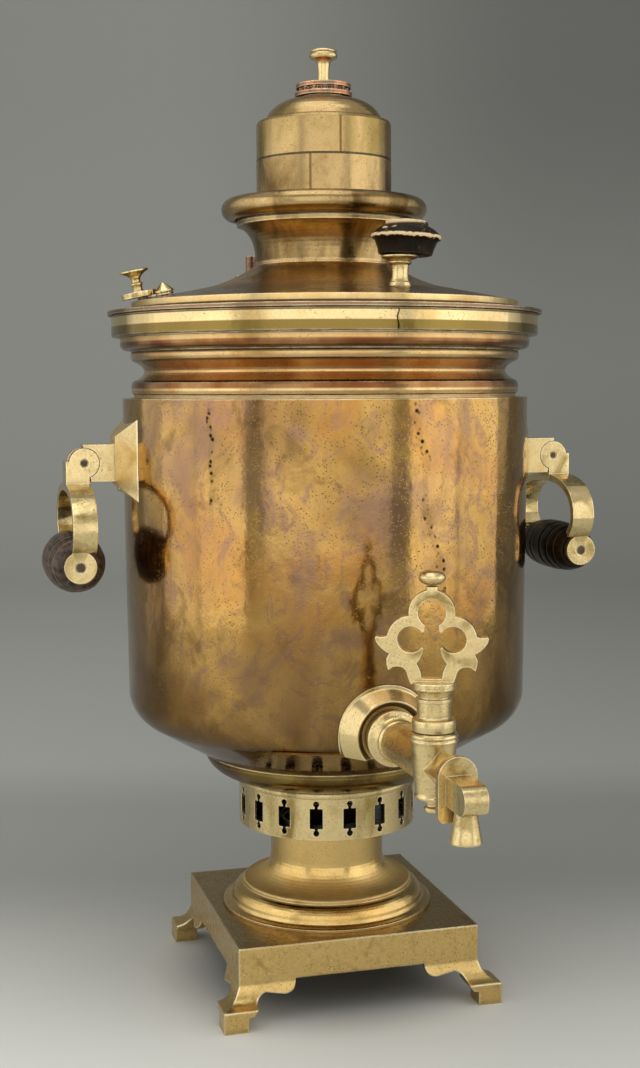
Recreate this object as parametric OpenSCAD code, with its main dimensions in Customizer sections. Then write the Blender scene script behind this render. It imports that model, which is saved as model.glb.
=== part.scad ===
// Samovar: a coal-fired table urn with a drum-shaped water vessel, a fire tube up its middle,
// a plug tap with a trefoil key, two swing handles and a lid, crown and cap that lift off in turn.
// Frame: millimetres, +Z up, origin on the floor midway between the feet, the tap towards -Y.

/* [Base] */
// Width of the square base plate
base_w = 122.4; // [118:0.2:150]
// Height of the base plate's top above the floor
base_h = 37.8; // [34:0.1:50]
// Thickness of the base plate
base_plate_t = 3; // [2:0.1:5]
// Height of the apron, from the plate's top to its lower edge
apron_h = 17.1; // [12:0.1:19]
// Thickness of the apron and of the bracket walls
apron_t = 3; // [2:0.1:4.5]
// Length of each bracket along the apron, measured from the corner
bracket_w = 28.2; // [24:0.1:36]
// Width of each square foot block
foot_w = 12; // [10:0.1:13]
// Height of each foot block
foot_h = 10.3; // [9:0.1:12]
// How far each foot stands out past the plate's edge
foot_reach = 9.3; // [7:0.1:10]

/* [Pedestal] */
// Radius of the pedestal's lowest ring
pedestal_r = 54.3; // [52:0.1:58]
// Height of the pedestal
pedestal_h = 44.1; // [40:0.1:60]
// Radius of the step above the lowest ring
pedestal_step_r = 50; // [48.5:0.1:51.5]
// Radius of the shoulder ring at the foot of the cove
pedestal_shoulder_r = 43.8; // [42:0.1:46]
// Height of the shoulder ring's top above the base plate
pedestal_shoulder_h = 12.2; // [11:0.1:14]
// Radius of the slender neck
pedestal_neck_r = 29.2; // [28:0.1:33]
// Wall of the hollow casting
pedestal_wall = 3; // [2:0.1:4]
// Radius of the draught hole through the pedestal's top and the collar's floor
throat_r = 22; // [16:0.1:24]

/* [Collar] */
// Radius of the perforated collar
collar_r = 45.6; // [44:0.1:49]
// Height of the collar
collar_h = 24.1; // [23:0.1:32]
// Wall of the collar
collar_wall = 1.5; // [1:0.1:2.5]
// Height of the rolled bead at the collar's top
collar_bead_h = 3.3; // [2:0.1:3.6]
// Number of draught slots
slot_count = 17; // [8:1:20]
// How far the row of slots is turned from the tap
slot_turn = -1; // [-10:0.5:10]
// Width of each slot
slot_w = 6.5; // [4:0.1:8]
// Height of each slot's straight part
slot_h = 10.1; // [7:0.1:11]
// Radius of the round hole at each end of a slot
slot_hole_r = 1.5; // [1:0.1:1.7]

/* [Vessel] */
// Height of the shallow bowl between the collar and the vessel
bowl_h = 13.1; // [10:0.1:20]
// Radius of the bowl where it meets the vessel
bowl_r = 62.6; // [56:0.1:70]
// Wall of the bowl
bowl_wall = 1.5; // [1:0.1:2.5]
// Radius of the drum over most of its height
drum_r = 102.6; // [100:0.1:103]
// Radius of the drum just above its rounded lower corner
drum_foot_r = 101.5; // [99:0.1:103]
// Height over which the drum narrows to its foot
drum_taper_h = 103; // [80:1:108]
// Height of the vessel from its underside to its shoulder
vessel_h = 181.5; // [176:0.1:230]
// Radius of the drum's rounded lower corner
corner_r = 18; // [12:0.5:22]
// Slope of the dished bottom
dish_angle = 30; // [20:1:34]
// Wall of the vessel
vessel_wall = 1.6; // [1.2:0.1:2.4]
// Radius of the mouth under the lid
mouth_r = 89.4; // [80:0.1:89.6]

/* [Neck ring] */
// Radius of the fillet and groove at the ring's foot
neck_foot_r = 98; // [96:0.1:100]
// Height of the fillet and groove at the ring's foot
neck_foot_h = 8.4; // [7:0.1:12]
// Radius at the bottom of the hollow moulding
scotia_r = 91.5; // [90.8:0.1:95]
// Height of the hollow moulding
scotia_h = 10; // [8:0.1:14]
// Radius of the bead above the hollow
neck_bead_r = 98.4; // [97:0.1:100]
// Height of the bead above the hollow
neck_bead_h = 5; // [4:0.1:8]
// Radius of the ovolo under the rim band
ovolo_r = 103.5; // [103.4:0.1:105.5]
// Height of the ovolo
ovolo_h = 7; // [5:0.1:10]
// Radius of the rim band
band_r = 107.6; // [106.5:0.1:109]
// Height of the rim band
band_h = 10.6; // [9.6:0.1:16]

/* [Fire tube] */
// Outer radius of the fire tube
tube_r = 31.1; // [27:0.1:31.2]
// Wall of the fire tube
tube_wall = 1.6; // [1:0.1:3]
// Gap between the tube's top and the crown's spigot over it
tube_gap = 2; // [1:0.1:6]
// Thickness of the fire grate
grate_t = 3.5; // [2:0.1:8]

/* [Lid] */
// Radius of the lid's rim lip
lip_r = 109.5; // [107.5:0.1:112]
// Thickness of the rim lip
lip_t = 1.9; // [1.4:0.1:3]
// Radius of the raised step
step_r = 97.8; // [96.5:0.1:98.6]
// Height of the raised step above the lip
step_h = 4.4; // [2:0.1:6]
// Slope of the lid's roof
roof_tilt = 11.25; // [8:0.25:13]
// Radius where the roof starts to sweep up to its collar
sweep_r = 61.6; // [52:0.1:66]
// Height of the lid, from the neck ring to the top of its collar
lid_h = 26.4; // [25:0.1:34]
// Thickness of the lid's sheet
lid_sheet = 1.4; // [1:0.1:1.5]
// Outer radius of the skirt that drops into the neck ring
skirt_r = 100.4; // [99.6:0.1:101.4]
// Depth of the skirt below the neck ring's top
skirt_h = 8; // [5:0.1:8.6]

/* [Lid knobs] */
// Distance of each knob stem from the lid's middle
knob_at = 75.5; // [70:0.1:80]
// Direction of the front knob, from +X
knob_front = -78; // [-90:1:-60]
// Direction of the back stem, whose knob is lost
knob_back = 106.5; // [90:0.5:120]
// Height of each brass stem above its foot
stem_h = 12; // [10:0.1:18]
// Radius of each stem's foot on the lid
stem_foot_r = 5; // [4.8:0.1:6.2]
// Radius of the cup on each stem
stem_cup_r = 8.7; // [7.6:0.1:9.6]
// Radius of the bolt through each stem
bolt_r = 2.7; // [1.8:0.1:3]
// Height of the bolts above the stems
bolt_over = 10.6; // [6:0.1:12]
// Radius of the wooden knob
knob_r = 16.8; // [14.5:0.1:20]
// Height of the wooden knob
knob_h = 16.4; // [15:0.1:24]
// How far the worn knob sits off its bolt, sideways
knob_shift = 2.8; // [0:0.1:3]

/* [Steam vent] */
// Distance of the vent hole from the lid's middle
vent_at = 91.6; // [90:0.1:93]
// Radius of the vent hole
vent_hole_r = 2.2; // [1.5:0.1:2.6]
// Height of the seat that the cover lies on
vent_seat_h = 1.2; // [1:0.1:3]
// Radius of the cover's disc
vent_disc_r = 8.6; // [7:0.1:8.6]
// Thickness of the cover's disc
vent_disc_t = 2.6; // [1.5:0.1:4]
// Height of the cover's turned button
vent_button_h = 11; // [9:0.1:16]
// Radius of the button's flared top
vent_top_r = 7.2; // [5:0.1:9]

/* [Crown] */
// Radius of the crown's neck and of the lid's collar
crown_neck_r = 34.8; // [34.7:0.1:36]
// Depth of the crown's spigot in the lid
spigot_h = 12; // [6:0.1:16]
// Wall of the crown's spigot
spigot_wall = 1.5; // [1:0.1:1.6]
// Height of the crown's flare
flare_h = 18.5; // [14:0.1:26]
// Radius of the crown's mouth, at the top of the flare
flare_r = 43.3; // [42:0.1:44.6]
// Radius of the rolled rim's round section
roll_r = 5.3; // [4.5:0.1:6]
// Height of the teapot seat above the lid's collar
seat_h = 23.6; // [23:0.1:32]

/* [Cap] */
// Radius of the chimney sleeve
sleeve_r = 34; // [33.6:0.1:36]
// Height of the chimney sleeve
sleeve_h = 27; // [18:0.1:40]
// Wall of the chimney sleeve
sleeve_wall = 1.5; // [1:0.1:1.7]
// Height of the cap's straight wall
cap_wall_h = 17.6; // [12:0.1:26]
// Height of the cap's dome above that wall
dome_h = 13.6; // [11:0.1:20]
// Thickness of the cap's sheet
cap_sheet = 1.4; // [1:0.1:1.6]
// Depth of the cap's spigot in the sleeve
cap_spigot_h = 10; // [5:0.1:16]
// Radius of the lower heat washer under the cap's button
washer_r = 14.4; // [12:0.1:16]
// Thickness of each heat washer
washer_t = 2; // [1.5:0.1:4]
// Height of the spacer between the two heat washers
washer_gap = 2.2; // [1:0.1:4]
// Number of studs round that spacer
washer_studs = 14; // [8:1:18]
// Height of the cap's button above the washers
button_h = 17.5; // [15:0.1:22]
// Radius of the cap button's head
button_r = 7; // [6:0.1:9]

/* [Tap] */
// Depth of the tap's pipe below the centre of the drum's rounded lower corner
tap_drop = 3.7; // [-3.1:0.1:4.3]
// Distance of the tap's barrel from the drum
tap_reach = 63.7; // [60:0.1:80]
// Radius of the flange against the drum
flange_r = 22.4; // [20:0.1:25]
// Radius of the flange's front edge
flange_front_r = 16.5; // [15.5:0.1:18]
// How far the flange stands out from the drum
flange_t = 8.5; // [7:0.1:10]
// Depth of the flange's flat lower edge below the pipe's axis
flange_low = 10.2; // [9:0.1:14]
// Radius of the pipe behind the barrel
pipe_r = 9.1; // [8.6:0.1:9.6]
// Radius of the water way
bore_r = 3.2; // [2:0.1:3.4]
// Radius of the barrel's top
barrel_r = 9.7; // [9.4:0.1:11]
// Radius of the barrel's foot
barrel_foot_r = 7.9; // [7.4:0.1:8.6]
// Height of the barrel above the pipe's axis
barrel_up = 14.7; // [13:0.1:18]
// Depth of the barrel below the pipe's axis
barrel_down = 13.8; // [13:0.1:18]
// Radius of the plug's wide end
plug_r = 7.3; // [6.6:0.1:7.6]
// Radius of the plug's narrow end
plug_foot_r = 5.6; // [4.8:0.1:5.8]
// Distance of the nozzle from the barrel
nozzle_reach = 37.8; // [35:0.1:46]
// Height of the nozzle's trumpet
nozzle_h = 12.7; // [10:0.1:16]
// Radius of the nozzle's mouth
nozzle_r = 6.6; // [5.6:0.1:8]

/* [Key] */
// Height of the key's turned stem above the barrel
key_stem_h = 20.9; // [18:0.1:28]
// Radius of the key's collar on the barrel
key_collar_r = 9.1; // [8.6:0.1:10]
// Radius of the key's stem
key_stem_r = 7.1; // [6:0.1:7.5]
// Radius of the disc under the trefoil
key_disc_r = 9.2; // [8.4:0.1:10.4]
// Thickness of the key's trefoil
key_t = 5; // [3.5:0.1:7]
// Radius of the trefoil's three openings
lobe_hole_r = 5.5; // [4.5:0.1:6]
// Radius of the trefoil's lobes
lobe_r = 9.8; // [9.4:0.1:10.8]
// How far the trefoil is turned from square when the tap is shut
key_turn = -22; // [-40:1:40]

/* [Handles] */
// Height of the handles' pivots above the vessel's underside
handle_rise = 150.2; // [130:0.1:154]
// Distance of the pivots from the drum
pivot_reach = 21.2; // [20.6:0.1:28]
// Width of each pyramid plate on the drum
plate_w = 48; // [44:0.2:54]
// Height of each pyramid plate on the drum
plate_h = 40.7; // [38:0.1:50]
// How far the pyramid stands out from the drum
plate_reach = 6.4; // [6:0.1:8]
// Width of the pyramid plate's flat face
plate_face_w = 16.8; // [15:0.1:22]
// Height of the pyramid plate's flat face
plate_face_h = 23.1; // [20:0.1:27]
// Height of each lug
lug_h = 18.2; // [17.6:0.1:19]
// Width of each lug and of the knuckle that turns on it
lug_w = 14; // [12:0.1:18]
// Radius of the knuckle
knuckle_r = 7.3; // [6.6:0.1:7.4]
// Radius of the hinge pins
hinge_pin_r = 2; // [1.5:0.1:2.6]
// Width of the bow's strap
strap_w = 11.6; // [9:0.1:13]
// Thickness of the bow's strap
strap_t = 3.5; // [2.5:0.1:5]
// Half width of the bow
bow_half = 37.6; // [35:0.1:44]
// Distance from the pivot down to the grip's axis
grip_drop = 48.4; // [46:0.1:60]
// Radius of the left grip at its middle
grip_r_left = 15; // [12:0.1:16]
// Radius of the right grip at its middle
grip_r_right = 13.1; // [12:0.1:16]
// Radius of the grip's ends
grip_end_r = 9; // [7.5:0.1:11]
// Radius of the rod through the grip
rod_r = 2.6; // [1.8:0.1:3]

/* [Fits] */
// Radial clearance of pins, bolts and turning fits
fit = 0.05; // [0.03:0.01:0.08]
// Radial clearance of parts that lift out of each other
slip = 0.3; // [0.25:0.05:0.35]

/* [Hidden] */

$fn = 96;
brass = "#b8924a";
pale_brass = "#d1b36a";
copper = "#a5613a";
iron = "#3c3936";
dark_wood = "#4a2c22";
black_wood = "#241c19";
past = 1; // how far a cutter runs past the face it opens

// Heights of the stack, from the floor up
pedestal_z = base_h;
collar_z = pedestal_z + pedestal_h;
bowl_z = collar_z + collar_h;
vessel_z = bowl_z + bowl_h;
neck_z = vessel_z + vessel_h;
lid_z = neck_z + neck_foot_h + scotia_h + neck_bead_h + ovolo_h + band_h;
crown_z = lid_z + lid_h;
seat_z = crown_z + seat_h;
cap_z = seat_z + sleeve_h;
dome_z = cap_z + cap_wall_h + dome_h;
washer_foot_h = 0.5;
finial_z = dome_z + washer_foot_h + 2 * washer_t + washer_gap;
cap_pin_r = 1.9;
cap_pin_h = 5; // how far the button's pin reaches below the cap's sheet
cap_nut_t = 3;

// Drum: centre height of the rounded lower corner
corner_z = vessel_z + (drum_foot_r - corner_r * (1 - sin(dish_angle)) - bowl_r) * tan(dish_angle)
    + corner_r * cos(dish_angle);

// Base
base_half = base_w / 2;
hollow_half = base_half - apron_t;
foot_out = base_half + foot_reach;
foot_in = foot_out - foot_w;
apron_z = base_h - apron_h;
screw_r = 1.5;
screw_head_r = 3;
screw_head_h = 2;
screw_depth = 6;
screw_at = (pedestal_shoulder_r - pedestal_wall + pedestal_step_r) / 2;
bracket_z = foot_h + 4; // where the bracket's inner curve ends

// Lid
lip_top = lid_z + lip_t;
step_top = lip_top + step_h;
collar_in_r = crown_neck_r - lid_sheet;
spigot_r = collar_in_r - slip;
socket_r = skirt_r + 2 * slip;
tube_top = crown_z - spigot_h - tube_gap;
stem_z = roof_z(knob_at) - 1.6;
stem_foot_h = 3.7;
bolt_head = 2; // height of each bolt's head, and how far it stands out past the bolt
stem_top = stem_z + stem_foot_h + stem_h;

// Tap
tap_z = corner_z - tap_drop;
drum_wide = max(drum_r, drum_foot_r);
barrel_y = -(drum_foot_r + tap_reach);
barrel_top = tap_z + barrel_up;
barrel_foot = tap_z - barrel_down;
spout_y = barrel_y - nozzle_reach;
spigot_tap_r = 8;
tail_r = 2.2;
tail_h = 6.2;
tail_washer_t = 1;
front_bore_z = tap_z - 2.3;
port_z = (tap_z + front_bore_z) / 2;
plate_y = barrel_y - 25.8; // back of the arched plate in front of the barrel
plate_half = 8.4;
plate_t = 3;
arch_z = tap_z + 2.1; // centre of the plate's round top
tongue_r = 6; // the rolled end over the nozzle
tongue_w = 10.2;
tongue_z = tap_z - 3.3;
nozzle_top = tongue_z - tongue_r;
nozzle_z = nozzle_top - nozzle_h;
plug_end = barrel_foot + 2.8;
saddle_r = 11;
saddle_front = drum_foot_r - 13.5;
locknut_t = 5;
spigot_end = saddle_front - locknut_t - 3;

// Key
key_z = barrel_top + slip;
trefoil_z = key_z + key_stem_h;
key_collar_h = key_stem_h / 4;
key_ring_z = key_z + 0.63 * key_stem_h; // middle of the ring round the stem
lobe_side = 8.8;
lobe_low = 17.7; // from the trefoil's foot up to the side lobes' centres
lobe_high = 28.8;
trefoil_shift = -0.8; // the trefoil stands a little off the stem's axis
button_rx = 5.7;
button_rz = 3.3;

// Handles
pivot_x = drum_r + pivot_reach;
pivot_z = vessel_z + handle_rise;
grip_x = pivot_x + 5.5;
grip_z = pivot_z - grip_drop;
lug_half = 3; // half width of each lug's middle, between the bow's cheeks
cheek_in = lug_half + slip;
boss_r = 7.8;
boss_t = 4.2;
boss_out = bow_half - 6.8;
grip_half = boss_out - boss_t - slip;
stud_r = 2.5;
stud_rise = 12;
stud_nut_r = 4.6;
stud_nut_t = 3;

// Vent: the frame of the cover, tilted to lie on the roof over the left handle
cover_shift = 2.6; // from the vent hole out to the button's axis
vent_pivot_in = 8.6; // from the vent hole in to the pivot, up the slope's own line
vent_pivot_side = -8; // from the vent hole across to the pivot
pivot_pin_r = 1.6;
cover_low = vent_seat_h + slip;
cover_top = cover_low + vent_disc_t;
cover_pin_r = 1.2;
pivot_head_r = 4.8;
pivot_head_h = 4.6;
arm_low = slip;
arm_top = arm_low + 1;
arm_turn = atan2(vent_pivot_side, vent_pivot_in + cover_shift);
arm_len = norm([vent_pivot_side, vent_pivot_in + cover_shift]);
riser_t = 2.4; // the arm's step up to the cover's disc
riser_at = vent_disc_r - riser_t;

// Points and outlines
function unit(v) = v / norm(v);
function left_of(a, b) = let (d = unit(b - a)) [-d[1], d[0]];
function mitre(line, i) =
    let (last = len(line) - 1)
    let (before = left_of(line[max(i - 1, 0)], line[max(i, 1)]))
    let (after = left_of(line[min(i, last - 1)], line[min(i + 1, last)]))
    (before + after) / (1 + before * after);
function wall_line(line, t) = [for (i = [0:len(line) - 1]) line[i] + t * mitre(line, i)];
function reversed(line) = [for (i = [len(line) - 1:-1:0]) line[i]];
function mirrored(line) = [for (p = reversed(line)) [-p[0], p[1]]];
function arc(centre, r, from, to, steps = 12) =
    [for (i = [0:steps]) let (a = from + (to - from) * i / steps) centre + r * [cos(a), sin(a)]];
function bend(a, b, c, steps = 10) =
    [for (i = [0:steps]) let (t = i / steps) (1 - t) * (1 - t) * a + 2 * t * (1 - t) * b + t * t * c];
function roof_z(r) = step_top + (step_r - r) * tan(roof_tilt);

module lathe(outline) rotate_extrude() polygon(outline);
// A spun sheet: its outer line runs so that the metal lies on the line's left
module lathe_shell(line, t) lathe(concat(line, reversed(wall_line(line, t))));
module ring(r_in, r_out, z0, z1) lathe([[r_in, z0], [r_out, z0], [r_out, z1], [r_in, z1]]);
module disc(r, z0, z1) translate([0, 0, z0]) cylinder(r = r, h = z1 - z0);
module at_barrel() translate([0, barrel_y, 0]) children();
// Local +Z runs from the drum's axis towards the tap, at the height of its pipe
module along_tap() translate([0, 0, tap_z]) rotate([90, 0, 0]) children();
// A flat outline drawn in X and Z, w thick along Y
module upright(w) rotate([90, 0, 0]) linear_extrude(height = w, center = true) children();
module cross_bar(r, w) rotate([90, 0, 0]) cylinder(r = r, h = w, center = true);
module at_pivot(side) translate([side * pivot_x, 0, pivot_z]) children();
module at_knob(angle) rotate([0, 0, angle]) translate([knob_at, 0, 0]) children();
module on_vent() translate([-vent_at, 0, roof_z(vent_at)]) rotate([0, -roof_tilt, 0]) children();
module at_vent_pivot() on_vent() translate([vent_pivot_in, vent_pivot_side, 0]) children();

// Base: one casting, the plate with its apron and four bracket feet

// Half of the front view, from the middle of the apron round the foot to the plate's top
function base_side() = concat(
    [[0, apron_z]],
    bend([base_half - bracket_w, apron_z], [base_half - bracket_w, bracket_z],
        [base_half - bracket_w + 6, bracket_z + 0.1], 6),
    [[base_half - 16, bracket_z + 1]],
    bend([base_half - 12.7, bracket_z + 1.6], [base_half - 8, bracket_z], [base_half - 7.2, foot_h - 0.4], 6),
    [[base_half - 5.5, foot_h - 3], [foot_in, foot_h - 3.4], [foot_in, 0]],
    [[foot_out, 0], [foot_out, foot_h]],
    bend([foot_out - 2.5, foot_h + 0.8], [base_half + 2, foot_h + 2.2], [base_half, foot_h + 9], 6),
    [[base_half, base_h], [0, base_h]]
);

module base_view() upright(2 * foot_out) polygon(concat(base_side(), mirrored(base_side())));
module at_screws() for (i = [0:3]) rotate([0, 0, 45 + 90 * i]) translate([screw_at, 0, 0]) children();

module base_plinth() color(brass) difference() {
    intersection() {
        base_view();
        rotate([0, 0, 90]) base_view();
    }
    translate([-hollow_half, -hollow_half, foot_h])
        cube([2 * hollow_half, 2 * hollow_half, base_h - base_plate_t - foot_h]);
    at_screws() disc(screw_r + fit, 0, base_h + past);
}

module base_screws() color(iron) at_screws() {
    disc(screw_head_r, base_h - base_plate_t - screw_head_h, base_h - base_plate_t);
    disc(screw_r, base_h - base_plate_t, base_h + screw_depth);
}

// Pedestal: hollow casting, turned outside

function pedestal_outside() =
    let (z = pedestal_z, cove_r = pedestal_shoulder_r - pedestal_neck_r - 0.6)
    concat(
        [[pedestal_r, z], [pedestal_r, z + 1.4]],
        bend([pedestal_r - 0.8, z + 1.8], [pedestal_step_r, z + 1.9], [pedestal_step_r, z + 3.2], 5),
        bend([pedestal_step_r - 0.4, z + 4], [pedestal_step_r - 0.8, z + 8.6],
            [pedestal_shoulder_r + 1, z + pedestal_shoulder_h - 1.9], 6),
        [[pedestal_shoulder_r, z + pedestal_shoulder_h - 1.5]],
        [[pedestal_shoulder_r, z + pedestal_shoulder_h]],
        arc([pedestal_neck_r + cove_r, z + pedestal_shoulder_h + cove_r + 0.6], cove_r, 270, 180),
        [[pedestal_neck_r, collar_z]]
    );

function pedestal_inside() =
    let (z = pedestal_z, bore = pedestal_neck_r - pedestal_wall, low = pedestal_shoulder_r - pedestal_wall)
    concat(
        [[throat_r, collar_z], [throat_r, collar_z - pedestal_wall], [bore, collar_z - pedestal_wall]],
        bend([bore, z + pedestal_shoulder_h + 14], [bore, z + pedestal_shoulder_h - 2],
            [low - 4, z + pedestal_shoulder_h - pedestal_wall - 1]),
        [[low, z + pedestal_shoulder_h - pedestal_wall - 3], [low, z]]
    );

module pedestal() color(pale_brass) difference() {
    lathe(concat(pedestal_outside(), pedestal_inside()));
    at_screws() disc(screw_r + fit, pedestal_z - past, pedestal_z + screw_depth + 0.5);
}

// Collar: thin ring with keyhole-ended draught slots, and its floor

module slot() {
    mid = collar_z + (collar_h - collar_bead_h) / 2 + 0.6;
    depth = 4 * collar_wall;
    neck = 1.6;
    for (s = [-1, 1]) translate([0, -collar_r, mid + s * (slot_h / 2 + slot_hole_r + 0.8)])
        cross_bar(slot_hole_r, depth);
    translate([0, -collar_r, mid]) {
        cube([slot_w, depth, slot_h], center = true);
        cube([neck, depth, slot_h + 2 * slot_hole_r + 1.6], center = true);
    }
}

module collar() color(pale_brass) difference() {
    union() {
        ring(throat_r + 2, collar_r, collar_z, collar_z + collar_wall);
        ring(collar_r - collar_wall, collar_r, collar_z, bowl_z);
        lathe(concat(
            [[collar_r - collar_wall, bowl_z - collar_bead_h], [collar_r, bowl_z - collar_bead_h]],
            bend([collar_r + 0.9, bowl_z - collar_bead_h + 0.3], [collar_r + 1.5, bowl_z - collar_bead_h / 2],
                [collar_r + 0.9, bowl_z - 0.3], 6),
            [[collar_r + 0.7, bowl_z], [collar_r - collar_wall, bowl_z]]
        ));
    }
    for (i = [0:slot_count - 1]) rotate([0, 0, slot_turn + 360 * i / slot_count]) slot();
}

module bowl() color(brass) lathe_shell(concat(
    [[collar_r - collar_wall, bowl_z]],
    bend([collar_r + 0.7, bowl_z], [bowl_r - 3, bowl_z + 3], [bowl_r, vessel_z - 2]),
    [[bowl_r, vessel_z]]
), bowl_wall);

// Vessel: the drum with its rounded corner, dished bottom and flat shoulder

function vessel_outside() = concat(
    [[tube_r + fit, vessel_z], [bowl_r, vessel_z]],
    arc([drum_foot_r - corner_r, corner_z], corner_r, dish_angle - 90, 0),
    [[drum_r, corner_z + drum_taper_h], [drum_r, neck_z], [mouth_r, neck_z]]
);

// The vessel's outline filled solid, grown by gap, for cutting what fits against it
module vessel_body(gap) lathe(concat(
    [[0, neck_z + gap], [0, vessel_z - gap]],
    wall_line(vessel_outside(), -gap)
));
module vessel_room(gap) lathe(concat(
    [[0, neck_z - vessel_wall - gap], [0, vessel_z + vessel_wall + gap]],
    wall_line(vessel_outside(), vessel_wall + gap)
));

module vessel() color(brass) difference() {
    lathe_shell(vessel_outside(), vessel_wall);
    along_tap() disc(spigot_tap_r + fit, drum_foot_r - corner_r, drum_wide + past);
    for (side = [-1, 1], rise = [-1, 1]) translate([side * drum_r, 0, pivot_z + rise * stud_rise])
        rotate([0, 90, 0]) cylinder(r = stud_r + fit, h = 4 * vessel_wall, center = true);
}

module fire_tube() color(brass) lathe([
    [tube_r - tube_wall - 2, vessel_z - vessel_wall],
    [tube_r + 4, vessel_z - vessel_wall],
    [tube_r + 4, vessel_z],
    [tube_r, vessel_z],
    [tube_r, tube_top],
    [tube_r - tube_wall, tube_top],
    [tube_r - tube_wall, vessel_z],
    [tube_r - tube_wall - 2, vessel_z]
]);

module grate() color(iron) difference() {
    bar = 3.6;
    disc(tube_r - tube_wall - slip, vessel_z, vessel_z + grate_t);
    for (i = [-3:3]) let (reach = sqrt(pow(tube_r - tube_wall - 4, 2) - pow(2 * i * bar, 2)))
        translate([2 * i * bar - bar / 2, -reach, vessel_z - past])
            cube([bar, 2 * reach, grate_t + 2 * past]);
}

// Neck ring: cast moulding round the mouth

function neck_outside() =
    let (scotia_z = neck_z + neck_foot_h, bead_z = scotia_z + scotia_h)
    let (ovolo_z = bead_z + neck_bead_h, band_z = lid_z - band_h)
    let (scotia_pull = 2 * scotia_r + 1.2 - (neck_foot_r + neck_bead_r) / 2)
    concat(
        [[neck_foot_r - 1.2, neck_z], [neck_foot_r - 1.2, neck_z + 1.8]],
        bend([neck_foot_r - 0.4, neck_z + 2.2], [neck_foot_r + 0.5, scotia_z - 3],
            [neck_foot_r - 0.4, scotia_z - 0.6], 4),
        bend([neck_foot_r - 1.2, scotia_z], [scotia_pull, scotia_z + scotia_h / 2],
            [neck_bead_r - 1.2, bead_z]),
        bend([neck_bead_r - 0.6, bead_z + 0.4], [neck_bead_r + 0.6, bead_z + neck_bead_h / 2],
            [neck_bead_r - 0.6, ovolo_z - 0.6], 6),
        [[neck_bead_r - 0.6, ovolo_z]],
        bend([ovolo_r - 3.7, ovolo_z + 0.2], [ovolo_r, ovolo_z + 0.4], [ovolo_r, ovolo_z + 3.5], 6),
        [[ovolo_r, band_z], [band_r - 0.3, band_z], [band_r, band_z + 0.4]],
        [[band_r, lid_z - 0.4], [band_r - 0.4, lid_z]]
    );

module neck_ring() color(brass) lathe(concat(neck_outside(), [
    [socket_r, lid_z],
    [socket_r, lid_z - skirt_h - slip],
    [socket_r - 3, lid_z - skirt_h - slip - 3],
    [mouth_r, neck_z + neck_foot_h + scotia_h + 2],
    [mouth_r, neck_z]
]));

// Tap

module tap_flange() color(pale_brass) difference() {
    bore = pipe_r + 3;
    front = drum_foot_r + flange_t;
    union() {
        intersection() {
            along_tap() disc(flange_r, drum_foot_r - corner_r, drum_wide + past);
            vessel_body(1.1);
        }
        along_tap() lathe([
            [bore, drum_foot_r - corner_r],
            [flange_r - 0.4, drum_foot_r - corner_r],
            [flange_r - 0.4, drum_foot_r - 1],
            [flange_front_r, front],
            [flange_front_r - 0.6, front],
            [bore + 1.4, front - 2.6],
            [bore, front - 2.6]
        ]);
    }
    along_tap() disc(bore, 0, front);
    vessel_body(fit);
    translate([-flange_r, -drum_wide - 2 * flange_t, tap_z - flange_r - past])
        cube([2 * flange_r, drum_wide, flange_r + past - flange_low]);
}

// The pipe's outline: radius against distance from the drum's axis
function pipe_outside() =
    let (front = drum_foot_r + flange_t, step = pipe_r + 3 - fit)
    concat(
        [[0, spigot_end], [spigot_tap_r, spigot_end]],
        [[spigot_tap_r, drum_foot_r + 0.2], [step, drum_foot_r + 0.2], [step, front + 2.6]],
        bend([step + 0.6, front + 3], [step + 1.4, front + 4], [step + 0.6, front + 5], 4),
        bend([step, front + 5.2], [pipe_r, front + 5.8], [pipe_r, front + 8.2], 5),
        bend([pipe_r + 0.4, front + 8.4], [pipe_r + 1.3, front + 9.7], [pipe_r + 0.4, front + 11], 4),
        [[pipe_r, front + 11.4], [pipe_r - 0.3, -barrel_y], [0, -barrel_y]]
    );

module barrel() lathe(concat(
    [[0, barrel_foot], [barrel_foot_r - 0.8, barrel_foot]],
    bend([barrel_foot_r - 0.2, barrel_foot + 0.2], [barrel_foot_r + 0.7, barrel_foot + 1.2],
        [barrel_foot_r - 0.2, barrel_foot + 2.4], 4),
    [[barrel_foot_r - 0.5, barrel_foot + 2.8], [barrel_foot_r, barrel_foot + 3.2]],
    [[barrel_r, barrel_top - 5]],
    bend([barrel_r + 0.2, barrel_top - 4.2], [barrel_r + 1, barrel_top - 3.4],
        [barrel_r + 0.2, barrel_top - 2.6], 4),
    bend([barrel_r + 0.2, barrel_top - 2.4], [barrel_r + 1, barrel_top - 1.5],
        [barrel_r + 0.2, barrel_top - 0.6], 4),
    [[barrel_r - 0.6, barrel_top], [0, barrel_top]]
));

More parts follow.
